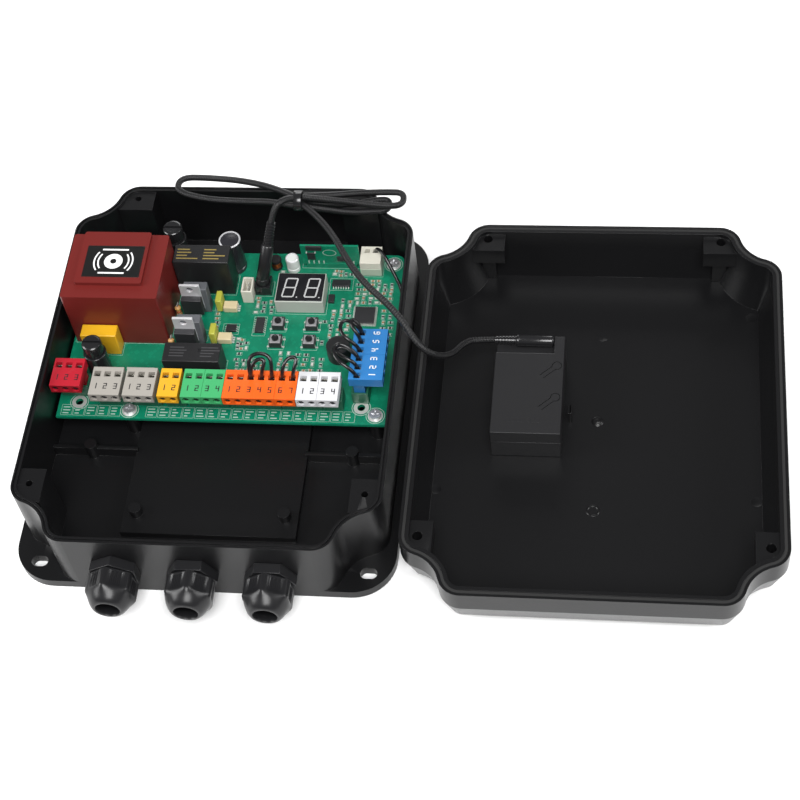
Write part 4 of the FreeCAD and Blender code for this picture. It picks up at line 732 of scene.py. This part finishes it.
sleeve_black = plain_finish("black_sleeve", (0.02, 0.02, 0.024), 0.25)
sleeve_pale = plain_finish("pale_sleeve", (0.6, 0.62, 0.6), 0.3)
vented_can("bulk_capacitor", 75.5, 94.8, 5.6, 21.5, sleeve_black)
vented_can("small_capacitor", 105.5, 93.9, 3.3, 9.0, sleeve_pale)
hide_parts("electrolytic_capacitors")
red_print = plain_finish("red_print", (0.45, 0.01, 0.02), 0.45)
half_top, half_faces = flat_arc(1.15, 2.2, 1.2, (105.5, 93.9), 8.58, math.pi / 2, 30)
half_disc = build_piece("small_capacitor_mark", on_board(*half_top), half_faces, red_print)
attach(half_disc, "case")

# ---------------------------------------------------------------- display and buttons
# A two-figure display: pale case, black face, unlit grey strokes under clear resin. Four press
# buttons stand in front of it, each a black plunger in a square housing under a steel plate.

display_pale = plain_finish("display_case", (0.40, 0.42, 0.38), 0.4)
display_face = plain_finish("display_face", (0.010, 0.010, 0.012), 0.12)
display_stroke = plain_finish("unlit_stroke", (0.40, 0.40, 0.40), 0.35)
display_low, display_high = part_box("digit_display")
SCREEN = (display_low.x / MM - BOARD_LEFT, display_low.y / MM - BOARD_FRONT,
          display_high.z / MM - BOARD_TOP)
finish_part("digit_display", "case", display_pale, 0.35)
bricks("display_window", [(SCREEN[0] + 0.45, SCREEN[1] + 0.45, SCREEN[2] - 0.5, 23.3, 17.3,
                           0.75)], "case", display_face, 0.2)


def pointed_stroke(x, y, long, upright):
    """One display stroke: a six-cornered bar with pointed ends, from its lower left corner."""
    half = 0.38
    corners = np.array([(0.0, half), (half, 0.0), (long - half, 0.0), (long, half),
                        (long - half, 2 * half), (half, 2 * half)])
    if upright:
        corners = corners[:, ::-1]
    return corners + (x, y)


def display_strokes():
    """Both figures, every stroke unlit, leaning by a tenth of their height."""
    points, faces = [], []
    wide, half = 5.6, 5.7
    for figure in (0, 1):
        left, front = SCREEN[0] + 3.4 + 11.3 * figure, SCREEN[1] + 2.6
        bars = [(0.0, 0.0, False), (0.0, half, False), (0.0, 2 * half, False)]
        posts = [(-0.38, 0.38, True), (-0.38, half + 0.38, True), (wide - 0.38, 0.38, True),
                 (wide - 0.38, half + 0.38, True)]
        for x, y, upright in bars + posts:
            corners = pointed_stroke(x, y, half if upright else wide, upright)
            flat = np.concatenate([corners, corners])
            height = np.repeat([SCREEN[2] + 0.2, SCREEN[2] + 0.3], 6)
            lean = flat[:, 1] * 0.12
            start = len(points) * 12
            points.append(np.stack([flat[:, 0] + lean + left, flat[:, 1] + front, height],
                                   axis=-1))
            order = list(range(6)) if not upright else list(range(6))[::-1]
            faces.append([start + 6 + k for k in order])
            faces += [[start + order[k], start + order[(k + 1) % 6],
                       start + 6 + order[(k + 1) % 6], start + 6 + order[k]] for k in range(6)]
    strokes = build_piece("display_strokes", on_board(*np.concatenate(points)), faces,
                          display_stroke)
    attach(strokes, "case")


display_strokes()
for figure in (0, 1):
    turned(f"display_point_{figure + 1}", [(0.0, 0.3), (0.38, 0.3), (0.38, 0.1)],
           on_board((SCREEN[0] + 10.9 + 11.3 * figure, SCREEN[1] + 2.7, SCREEN[2]))[0], "case",
           display_stroke, sides=20)

finish_part("button_housings", "case", chip_black, 0.2)
steel_plate = plain_finish("button_plate", (0.42, 0.42, 0.43), 0.4, Metallic=0.6)
KEYS = [(102.6, 57.7), (119.4, 57.7), (102.6, 46.9), (119.4, 46.9)]
key_legs = []
for number, (x, y) in enumerate(KEYS):
    plate = turned(f"button_plate_{number + 1}",
                   [(1.85, 0.0), (1.85, 0.16), (2.1, 0.2), (3.55, 0.2), (3.7, 0.1), (3.7, 0.0)],
                   on_board((x, y, 3.6))[0], "case", steel_plate, sides=4,
                   spin=math.pi / 4)
    turned(f"button_pin_{number + 1}", [(0.0, 0.3), (0.35, 0.28), (0.5, 0.12), (0.5, 0.0)],
           on_board((x + 2.1, y + 2.1, 3.7))[0], "case", chip_black, sides=16)
    key_legs += [(x + a, y + b, 0.02, 1.6, 0.9, 0.2) for a in (-4.4, 2.8) for b in (-2.7, 1.8)]
    key_legs += [(x + a, y + b, 0.02, 0.2, 0.9, 1.9) for a in (-3.15, 2.95) for b in (-2.7, 1.8)]
    plunger = turned(f"button_plunger_{number + 1}",
                     [(0.0, 0.7), (2.2, 0.7), (2.2, 2.45), (1.7, 2.5), (1.7, 4.85),
                      (1.55, 5.1), (1.3, 5.2), (0.0, 5.2)],
                     on_board((x, y, 0.0))[0], f"key_{number + 1}", glossy_black)
    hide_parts(f"button_{number + 1}")
bricks("button_legs", key_legs, "case", tinned_copper, 0.0)

buzzer = turned("board_buzzer", [(0.0, 0.0), (5.9, 0.0), (5.9, 8.3), (5.6, 8.8), (5.0, 9.0),
                                 (4.2, 8.9), (1.6, 8.9), (1.3, 8.7), (1.2, 7.4), (0.0, 7.4)],
                on_board((135.2, 40.2, 0.0))[0], "case", relay_black, sides=64)
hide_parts("buzzer")


# ---------------------------------------------------------------- small connectors
# A green radio board stands on its edge on a pin strip. Beside it are the white aerial
# connector with two square eyes, a white two-row connector, and the cable's own socket.

finish_part("radio_board", "case", green_mask, 0.0)
white_connector = plain_finish("white_connector", (0.60, 0.58, 0.50), 0.4)
pale_green = plain_finish("pale_green_connector", (0.40, 0.46, 0.37), 0.4)
dark_hole = plain_finish("dark_hole", (0.003, 0.003, 0.003), 0.8)
radio_low, radio_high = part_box("radio_board")
radio = ((radio_low.x / MM) - BOARD_LEFT, (radio_low.y / MM) - BOARD_FRONT)
radio_legs = [(radio[0] + 3.0 + 2.54 * step, radio[1] + 0.1, 1.0, 0.6, 0.5, 3.6)
              for step in (0, 1, 2, 3, 8, 9)]
radio_legs += [(radio[0] + 2.6 + 4.4 * step, radio[1] - 0.1, 11.0, 0.6, 1.9, 0.6)
               for step in (0, 1)]
bricks("radio_pins", radio_legs, "case", tinned_copper, 0.0)
bricks("radio_parts", [(radio[0] + 3.0, radio[1] + 0.0, 6.0, 4.0, 0.7, 5.0),
                       (radio[0] + 18.0, radio[1] + 0.0, 5.0, 5.5, 0.8, 3.4),
                       (radio[0] + 3.0, radio[1] - 0.4, 13.6, 8.0, 0.9, 3.0)], "case",
       chip_black, 0.1)
print_ring, ring_faces = flat_arc(2.2, 0.25, math.pi, (0.0, 0.0), 0.0, 0.0, 48)
print_ring = np.stack([radio[0] + 14.5 + 1.5 * print_ring[:, 0],
                       radio[1] + 0.6 - print_ring[:, 2], 11.0 + print_ring[:, 1]], axis=-1)
radio_print = build_piece("radio_print", on_board(*print_ring), ring_faces[:, ::-1], white_print)
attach(radio_print, "case")

finish_part("antenna_connector", "case", white_connector, 0.2)
aerial_low, aerial_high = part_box("antenna_connector")
eye = (aerial_low.x / MM - BOARD_LEFT, aerial_low.y / MM - BOARD_FRONT)
bricks("aerial_connector_foot", [(eye[0] - 0.15, eye[1] - 0.15, 0.0, 10.8, 11.3, 5.6)], "case",
       pale_green, 0.5)
finish_part("sensor_connector", "case", white_connector, 0.3)
sensor_low, sensor_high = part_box("sensor_connector")
sensor = (sensor_low.x / MM - BOARD_LEFT, sensor_low.y / MM - BOARD_FRONT)
bricks("sensor_pins", [(sensor[0] + 2.4, sensor[1] + 1.9 + 2.5 * step, 1.0, 0.7, 0.7, 6.0)
                       for step in range(3)], "case", tinned_copper, 0.1)
finish_part("cable_socket", "case", glossy_black, 0.3)
inductor = on_board((96.8, 94.8, 0.0))[0]
turned("ferrite_coil", [(0.0, 0.0), (2.7, 0.0), (2.8, 0.4), (2.8, 1.2), (2.1, 1.4), (2.1, 5.0),
                        (2.8, 5.2), (2.8, 6.4), (2.6, 6.8), (0.0, 6.8)], inductor, "case",
       relay_black)
copper = plain_finish("copper_wire", (0.45, 0.17, 0.06), 0.3, Metallic=1.0)
for turn, height in enumerate(np.linspace(1.5, 4.9, 9)):
    turned(f"ferrite_winding_{turn + 1}",
           [(2.05, height - 0.2), (2.3, height - 0.12), (2.38, height), (2.3, height + 0.12),
            (2.05, height + 0.2)], inductor, "case",
           copper, sides=28)


# ---------------------------------------------------------------- pull-off terminals
# Each colour is a moulded block on a stem that pushes onto pins. Its head has a square pocket
# with a steel cage for each wire, plain numerals in front of them, and a screw in its face.

PITCH = 5.0
PLUGS = {"red": ((0.38, 0.008, 0.02), (3,)), "grey_1": ((0.32, 0.30, 0.27), (3,)),
         "grey_2": ((0.32, 0.30, 0.27), (3,)), "yellow": ((0.68, 0.34, 0.015), (2,)),
         "green": ((0.045, 0.34, 0.12), (2, 2)), "orange": ((0.78, 0.105, 0.008), (5, 2)),
         "white": ((0.60, 0.60, 0.62), (2, 2)), "blue": ((0.020, 0.16, 0.42), (3, 3))}
PLUG_TOP = 20.0
HEAD_DEEP = 16.3
numeral_ink = plain_finish("numeral_ink", (0.015, 0.015, 0.018), 0.5)
cage_steel = plain_finish("cage_steel", (0.30, 0.29, 0.25), 0.35, Metallic=0.9)
# The face screws' steel is painted nearly black: painted shade of the recess each screw sits in.
screw_painted_shade = plain_finish("terminal_screw", (0.035, 0.035, 0.04), 0.4, Metallic=0.7)


def terminal_marks(colour, pins, turned_right):
    """Numerals in front of each pocket, and each pocket's clamp and front screw."""
    low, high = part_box(f"plug_{colour}")
    left, front = low.x / MM - BOARD_LEFT, low.y / MM - BOARD_FRONT
    body = f"terminal_{colour}"
    flat, clamps = [], []
    for pin in range(sum(pins)):
        along = (pin + 0.5) * PITCH - 0.06
        figure = [(a, b, 0.0, c, d, 0.05) for a, b, c, d in
                  numeral((pin + 1) % 10, along - 0.9, 3.6, 3.2, 0.45)]
        flat += figure
        clamps.append((along - 1.35, HEAD_DEEP - 5.3, -3.2, 2.7, 1.0, 0.9))
        clamps.append((along - 1.35, HEAD_DEEP - 3.4, -3.2, 2.7, 0.5, 1.6))
        screw = (along, 0.9) if not turned_right else (HEAD_DEEP - 0.9, along)
        place = on_board((left + screw[0], front + screw[1],
                          PLUG_TOP - 2.75))[0]
        away = (1.0, 0.0, 0.0) if turned_right else (0.0, -1.0, 0.0)
        turned(f"terminal_screw_{colour}_{pin + 1}",
               [(0.0, -0.5), (0.35, -0.5), (0.4, 0.1), (1.3, 0.05), (1.55, -0.2), (1.55, -0.9)],
               place, body, screw_painted_shade, along=away, sides=20)
    rows = np.array(flat)
    metal = np.array(clamps)

    def placed(*points):
        points = np.array(points)
        if turned_right:
            points = np.stack([HEAD_DEEP - points[:, 1], points[:, 0], points[:, 2]], axis=-1)
        points = points + (left, front, PLUG_TOP)
        return on_board(*points)
    bricks(f"terminal_numerals_{colour}", rows, body,
           label_white if colour == "blue" else numeral_ink, 0.0, placed)
    bricks(f"terminal_cages_{colour}", metal, body, cage_steel, 0.1, placed)


for colour, (shade, pins) in PLUGS.items():
    moulding = plain_finish(f"terminal_{colour}", shade, 0.38)
    finish_part(f"plug_{colour}", f"terminal_{colour}", moulding, 0.22)
    terminal_marks(colour, pins, colour == "blue")
# The headers are green parts; their green is darkened with painted shade from the plug heads that
# overhang them.
finish_part("terminal_headers", "case",
            plain_finish("terminal_header", (0.014, 0.10, 0.055), 0.4), 0.2)


# ---------------------------------------------------------------- jumper wires
# Short stiff wires in glossy black covers bridge the pockets that take no cable. Each rises
# out of one pocket, arches over and goes down into another, and comes off with its terminal.

black_wire = plain_finish("black_wire_cover", (0.008, 0.008, 0.009), 0.22)


def cord_line(route, order=3):
    """Points along the smooth line that has the route's points as its control points."""
    curve = bpy.data.curves.new("route", "CURVE")
    curve.dimensions = "3D"
    curve.resolution_u = 16
    spline = curve.splines.new("NURBS")
    spline.points.add(len(route) - 1)
    for point, place in zip(spline.points, route):
        point.co = (*(MM * np.array(place)), 1.0)
    spline.order_u = order
    spline.use_endpoint_u = True
    holder = bpy.data.objects.new("route", curve)
    bpy.context.scene.collection.objects.link(holder)
    bpy.context.view_layer.update()
    mesh = bpy.data.meshes.new_from_object(holder)
    line = np.array([v.co for v in mesh.vertices])
    bpy.data.objects.remove(holder)
    bpy.data.meshes.remove(mesh)
    return line


def round_cord(name, line, radius, finish, across=(0.0, 0.0, 1.0), sides=16):
    """A tube: at each point of the line a circle square to it, closed by a cap at each end.

    Its UV map runs round the tube in u and along it in v, in metres.
    """
    ahead = np.gradient(line, axis=0)
    ahead /= np.linalg.norm(ahead, axis=1, keepdims=True)
    side = np.cross(ahead, np.array(across))
    side /= np.linalg.norm(side, axis=1, keepdims=True)
    up = np.cross(side, ahead)
    angle = np.linspace(0.0, 2.0 * math.pi, sides, endpoint=False)
    ring = (side[:, None, :] * np.cos(angle)[None, :, None]
            + up[:, None, :] * np.sin(angle)[None, :, None])
    points = (line[:, None, :] + radius * ring).reshape(-1, 3)
    rows = len(line)
    i = np.arange(rows - 1)[:, None] * sides
    j = np.arange(sides)[None, :]
    k = (j + 1) % sides
    faces = np.stack([i + j, i + k, i + sides + k, i + sides + j], axis=-1).reshape(-1, 4)
    ends = [list(range(sides))[::-1], list(range((rows - 1) * sides, rows * sides))]
    piece = build_piece(name, points, faces.tolist() + ends, finish, 60.0)
    along = np.concatenate([[0.0], np.cumsum(np.linalg.norm(np.diff(line, axis=0), axis=1))])
    quad_u = np.stack([j + 0 * i, j + 1 + 0 * i, j + 1 + 0 * i, j + 0 * i], axis=-1) / sides
    low = np.repeat(along[:-1], sides)
    high = np.repeat(along[1:], sides)
    quad_v = np.stack([low, low, high, high], axis=-1)
    flat = np.stack([quad_u.reshape(-1), quad_v.reshape(-1)], axis=-1)
    flat = np.concatenate([flat, np.zeros((2 * sides, 2))])
    layer = piece.data.uv_layers.new(name="UVMap")
    layer.data.foreach_set("uv", flat.astype(np.float32).ravel())
    bm = bmesh.new()
    bm.from_mesh(piece.data)
    bmesh.ops.recalc_face_normals(bm, faces=bm.faces)
    bm.to_mesh(piece.data)
    bm.free()
    return piece


def jumper(name, body, first, last, rise, lean, node=None):
    """A wire on a smooth line with six control points: up, over, down."""
    first, last, lean = (np.array(p, float) for p in (first, last, lean))
    up = np.array((0.0, 0.0, 1.0))
    spread = (last - first) * 0.25
    crown = lean + up * rise
    route = [first, first + up * 8, first - spread + crown, last + spread + crown,
             last + up * 8, last]
    across = np.cross(last - first, up)
    wire = round_cord(name, cord_line(route, 4), 0.9 * MM, black_wire,
                      across / np.linalg.norm(across), 12)
    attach(wire, body)
    if node:
        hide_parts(node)


orange_low, orange_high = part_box("plug_orange")
blue_low, blue_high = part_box("plug_blue")
MOUTH = BOARD_TOP + PLUG_TOP - 3.8


def orange_pocket(pin):
    return (orange_low.x / MM + (pin + 0.5) * PITCH - 0.06,
            orange_low.y / MM + HEAD_DEEP - 4.0, MOUTH)


def blue_pocket(pin):
    return (blue_low.x / MM + 4.0, blue_low.y / MM + (pin + 0.5) * PITCH - 0.06, MOUTH)


for label, first, last, rise, lean in (("wide", 2, 4, 14.4, (0, 7, 0)),
                                       ("inner", 2, 3, 12.4, (3, 5, 0)),
                                       ("right", 5, 6, 12.0, (3, 7, 0))):
    jumper(f"orange_jumper_{label}", "terminal_orange", orange_pocket(first),
           orange_pocket(last), rise, lean, "orange_jumpers" if label == "wide" else None)
for label, first, last, rise, lean in (("rear_outer", 5, 3, 12.0, (-10, 3, 0)),
                                       ("rear_inner", 5, 4, 11.0, (-5, 4, 0)),
                                       ("front_outer", 2, 0, 11.0, (-12, 5, 0)),
                                       ("front_inner", 2, 1, 8.5, (-11, 4, 0))):
    jumper(f"blue_jumper_{label}", "terminal_blue", blue_pocket(first), blue_pocket(last),
           rise, lean, "blue_jumpers" if label == "rear_outer" else None)


# ---------------------------------------------------------------- wireless module
# Two black mouldings clipped together and bonded to the lid's floor. The cover has two springy
# tabs cut beside its right edge, a raised maker's field left blank, and a bay for its plug.

black_module = grained_plastic("black_module_plastic", (0.015, 0.015, 0.016), 0.34, 1600.0,
                               0.00005)
cover_low, cover_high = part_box("module_cover")
COVER = (cover_low.x / MM, cover_low.y / MM, cover_high.x / MM, cover_high.y / MM,
         cover_high.z / MM)


def in_frame(*places):
    """Places in mm from the frame's own origin, in metres."""
    return MM * np.array(places, float)


def keyhole(x, y):
    """A cutter for one springy tab: a thin wall along two straight runs and a round end."""
    heading, neck, head, run, line = math.radians(223.0), 1.2, 2.2, 9.5, 0.32
    half = math.pi - math.asin(neck / head)
    angle = heading + math.pi + np.linspace(-half, half, 30)
    along = np.array((math.cos(heading), math.sin(heading)))
    side = np.array((-along[1], along[0]))
    arc = np.stack([np.cos(angle), np.sin(angle)], axis=-1) * head
    path = np.concatenate([[along * run + side * neck], arc, [along * run - side * neck]])
    ahead = np.gradient(path, axis=0)
    ahead /= np.linalg.norm(ahead, axis=1, keepdims=True)
    across = np.stack([-ahead[:, 1], ahead[:, 0]], axis=-1) * line / 2
    rows = [np.column_stack([path + s * across + (x, y), np.full(len(path), z)])
            for s, z in ((-1, COVER[4] - 0.9), (1, COVER[4] - 0.9), (1, COVER[4] + 1.0),
                         (-1, COVER[4] + 1.0))]
    points = np.stack(rows, axis=1).reshape(-1, 3)
    i = np.arange(len(path) - 1)[:, None] * 4
    j = np.arange(4)[None, :]
    k = (j + 1) % 4
    faces = np.stack([i + j, i + k, i + 4 + k, i + 4 + j], axis=-1).reshape(-1, 4).tolist()
    last = 4 * (len(path) - 1)
    faces += [[3, 2, 1, 0], [last, last + 1, last + 2, last + 3]]
    cutter = build_piece("keyhole_cutter", in_frame(*points), faces, black_module)
    bm = bmesh.new()
    bm.from_mesh(cutter.data)
    bmesh.ops.recalc_face_normals(bm, faces=bm.faces)
    bm.to_mesh(cutter.data)
    bm.free()
    return cutter


cover = finish_part("module_cover", "lid", black_module, 0.3)
for from_rear in (17.3, 35.6):
    carve(cover, keyhole(COVER[2] - 3.2, COVER[3] - from_rear), 10.0)
finish_part("module_tub", "lid", black_module, 0.3)
field = [(COVER[0] + 7.0 + 2.4 * step, COVER[1] + 6.2, COVER[4] - 0.05, 1.7, 2.4, 0.14)
         for step in range(7)]
bricks("module_blank_field", field, "lid", black_module, 0.05, in_frame)
bricks("lid_floor_clip", [(COVER[2] + 3.2, COVER[3] - 36.5, 2.4, 1.1, 5.0, 7.6),
                          (COVER[2] + 2.4, COVER[3] - 36.5, 9.2, 1.6, 5.0, 0.8)], "lid",
       black_lid, 0.15, in_frame)
# Two black sheets stand in the lid behind its rear screw holes: painted shade, dark sheets put
# where the holes show only shade.
for x in (121.9, 236.5):
    bricks(f"lid_hole_shade_sheet_{int(x)}", [(x - 3.4, 80.2, 2.6, 6.8, 1.4, 16.6)], "lid",
           black_lid, 0.1, in_frame)


# ---------------------------------------------------------------- plugs
# Each end of the data cable has a moulded rubber plug: a smooth barrel, then a boot with rings
# round it that bends with the cable. One leans out of its socket, one lies in the module's bay.

boot_rubber = plain_finish("boot_rubber", (0.010, 0.010, 0.011), 0.32)


def ribbed(start, tip_radius, foot_radius, long, ribs):
    """Profile of a boot from its foot: the radius falls evenly and dips between the rings."""
    rows = []
    for rib in range(ribs):
        low = start + long * rib / ribs
        step = long / ribs
        wide = foot_radius + (tip_radius - foot_radius) * rib / ribs
        rows += [(wide, low), (wide, low + 0.5 * step), (wide - 0.45, low + 0.62 * step),
                 (wide - 0.45, low + 0.88 * step)]
    return rows + [(tip_radius, start + long), (tip_radius - 0.4, start + long)]


socket_low, socket_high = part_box("cable_socket")
ball = ((socket_low.x + socket_high.x) / 2, (socket_low.y + socket_high.y) / 2,
        socket_high.z + 2.0 * MM)
board_plug = turned("data_plug_barrel",
                    [(0.0, -0.6), (2.4, -0.6), (3.2, 0.2), (3.2, 18.2), (2.9, 18.8), (2.6, 19.0)]
                    + ribbed(19.1, 2.1, 2.6, 11.9, 8), ball, "case", boot_rubber,
                    (7.3, 17.0, 30.0), sharp=50.0)
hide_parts("board_plug")
turned("data_plug_foot", [(0.0, -6.7), (3.0, -6.7), (3.0, -1.9), (3.3, -1.8), (3.3, 0.9),
                          (2.9, 1.6), (2.0, 2.2), (0.0, 2.4)], ball, "case",
       boot_rubber, sharp=50.0)
plug_low, plug_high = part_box("module_plug")
plug_start = (plug_high.x, (plug_low.y + plug_high.y) / 2, (plug_low.z + plug_high.z) / 2)
module_plug = turned("module_plug_barrel",
                     [(0.0, 0.0), (2.3, 0.0), (2.7, 0.4), (2.8, 1.0), (2.8, 16.6), (2.9, 16.7),
                      (3.0, 17.0), (3.0, 17.4), (2.6, 17.6)] + ribbed(17.7, 2.1, 2.5, 10.7, 7),
                     plug_start, "lid", glossy_black, (-1.0, 0.0, 0.0), sharp=50.0)
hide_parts("module_plug")

# ---------------------------------------------------------------- data cable
# A thin cable in black braid joins the board to the module in the lid. Its spare length is
# folded into loops and held by a band.

CABLE = 3.2 * MM
LEG_ROUTE = [(16.61, 73.21, 51.97), (18.4, 77.3, 59.2), (23.8, 82.2, 60.2), (28.6, 86.0, 55.4),
             (34.6, 88.4, 52.4), (41.0, 90.0, 50.4)]
TAIL_ROUTE = [(29.5, 85.0, 54.0), (44.2, 72.0, 56.6), (63.2, 38.4, 54.4), (83.8, 21.1, 50.9),
              (97.4, 1.9, 44.7), (108.6, 8.5, 31.7), (114.4, 24.5, 23.4), (122.8, 27.9, 20.4),
              (128.5, 27.9, 20.4)]
LEFT_LOOP = [(27.0, 88.6, 54.0), (16.0, 96.5, 51.2), (-2.0, 104.0, 48.2), (-22.0, 107.0, 46.8),
             (-36.0, 107.5, 46.2), (-36.5, 97.8, 46.2), (-20.0, 92.6, 46.8), (-5.0, 90.9, 47.6),
             (10.0, 88.5, 50.2), (20.0, 85.6, 52.6), (27.0, 83.5, 53.4)]
OUTER_LOOP = [(31.0, 88.4, 55.0), (42.0, 92.6, 50.5), (57.0, 97.4, 47.4), (71.0, 98.6, 46.8),
              (80.0, 98.6, 46.6), (80.0, 90.0, 46.6), (69.0, 89.6, 46.8), (54.0, 90.4, 48.6),
              (41.0, 88.6, 52.4), (31.0, 86.2, 56.6)]
INNER_LOOP = [(31.0, 87.8, 51.9), (41.0, 90.0, 47.6), (54.0, 92.0, 44.6), (65.0, 96.0, 43.6),
              (72.6, 96.8, 43.4), (72.6, 89.6, 43.4), (64.0, 88.4, 43.6), (53.0, 87.2, 44.4),
              (41.0, 85.4, 48.6), (31.0, 84.6, 51.8)]
WIRE_ROUTE = [(65.85, 76.6, 24.5), (66.1, 76.0, 29.4), (68.3, 73.1, 33.1), (71.4, 69.0, 33.6),
              (76.1, 62.8, 28.1), (81.3, 55.5, 20.5), (81.3, 43.0, 11.0), (81.3, 26.0, 8.0)]


def braid_finish():
    """Black polyester braid: two sets of fine threads that cross, wound round the cable."""
    finish = plain_finish("black_braid", (0.006, 0.006, 0.0065), 0.38, Specular_IOR_Level=0.35)
    nodes, links = finish.node_tree.nodes, finish.node_tree.links
    shader = nodes["Principled BSDF"]
    place = nodes.new("ShaderNodeUVMap")
    place.uv_map = "UVMap"
    heights = []
    for turn in (1.0, -1.0):
        mapping = nodes.new("ShaderNodeMapping")
        mapping.inputs["Scale"].default_value = (6.0 * turn, 900.0, 1.0)
        wave = nodes.new("ShaderNodeTexWave")
        wave.bands_direction = "DIAGONAL"
        wave.inputs["Scale"].default_value = 0.5
        wave.inputs["Distortion"].default_value = 0.0
        links.new(place.outputs["UV"], mapping.inputs["Vector"])
        links.new(mapping.outputs["Vector"], wave.inputs["Vector"])
        heights.append(wave.outputs["Fac"])
    mixed = nodes.new("ShaderNodeMath")
    mixed.operation = "MAXIMUM"
    links.new(heights[0], mixed.inputs[0])
    links.new(heights[1], mixed.inputs[1])
    ramp = nodes.new("ShaderNodeValToRGB")
    ramp.color_ramp.elements[0].color = (0.002, 0.002, 0.002, 1.0)
    ramp.color_ramp.elements[1].color = (0.010, 0.010, 0.011, 1.0)
    links.new(mixed.outputs["Value"], ramp.inputs["Fac"])
    links.new(ramp.outputs["Color"], shader.inputs["Base Color"])
    bump = nodes.new("ShaderNodeBump")
    bump.inputs["Strength"].default_value = 0.6
    bump.inputs["Distance"].default_value = 0.0003
    links.new(mixed.outputs["Value"], bump.inputs["Height"])
    links.new(bump.outputs["Normal"], shader.inputs["Normal"])
    return finish


black_braid = braid_finish()


def lay_cord(name, route, node):
    line = cord_line(route)
    piece = round_cord(name, line, CABLE / 2, black_braid)
    if node:
        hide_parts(node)
    return piece


leg = lay_cord("data_cable_leg", LEG_ROUTE, "cable_leg")
tail = lay_cord("data_cable_tail", TAIL_ROUTE, "cable_tail")
left_loop = lay_cord("data_cable_left_loop", LEFT_LOOP, "cable_hank_left")
outer_loop = lay_cord("data_cable_outer_loop", OUTER_LOOP, "cable_hank_right")
inner_loop = lay_cord("data_cable_inner_loop", INNER_LOOP, None)
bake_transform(leg)
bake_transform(tail)
for loop in (left_loop, outer_loop, inner_loop):
    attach(loop, "cable")
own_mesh(left_loop)
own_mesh(outer_loop)
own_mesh(inner_loop)

band_low, band_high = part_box("cable_tie")
band_middle = (band_low.x, (band_low.y + band_high.y) / 2, (band_low.z + band_high.z) / 2)
band = turned("cable_band", [(4.5, 0.0), (4.9, 0.0), (5.0, 0.2), (5.0, 3.8), (4.9, 4.0),
                             (4.5, 4.0), (4.4, 3.8), (4.4, 0.2)], band_middle, "cable",
              glossy_black, (1.0, 0.0, 0.0))
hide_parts("cable_tie")

aerial_line = cord_line(WIRE_ROUTE)
aerial = round_cord("aerial_wire", aerial_line, 0.9 * MM, black_wire, (1.0, 0.0, 0.0), 12)
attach(aerial, "case")
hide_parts("antenna_wire")
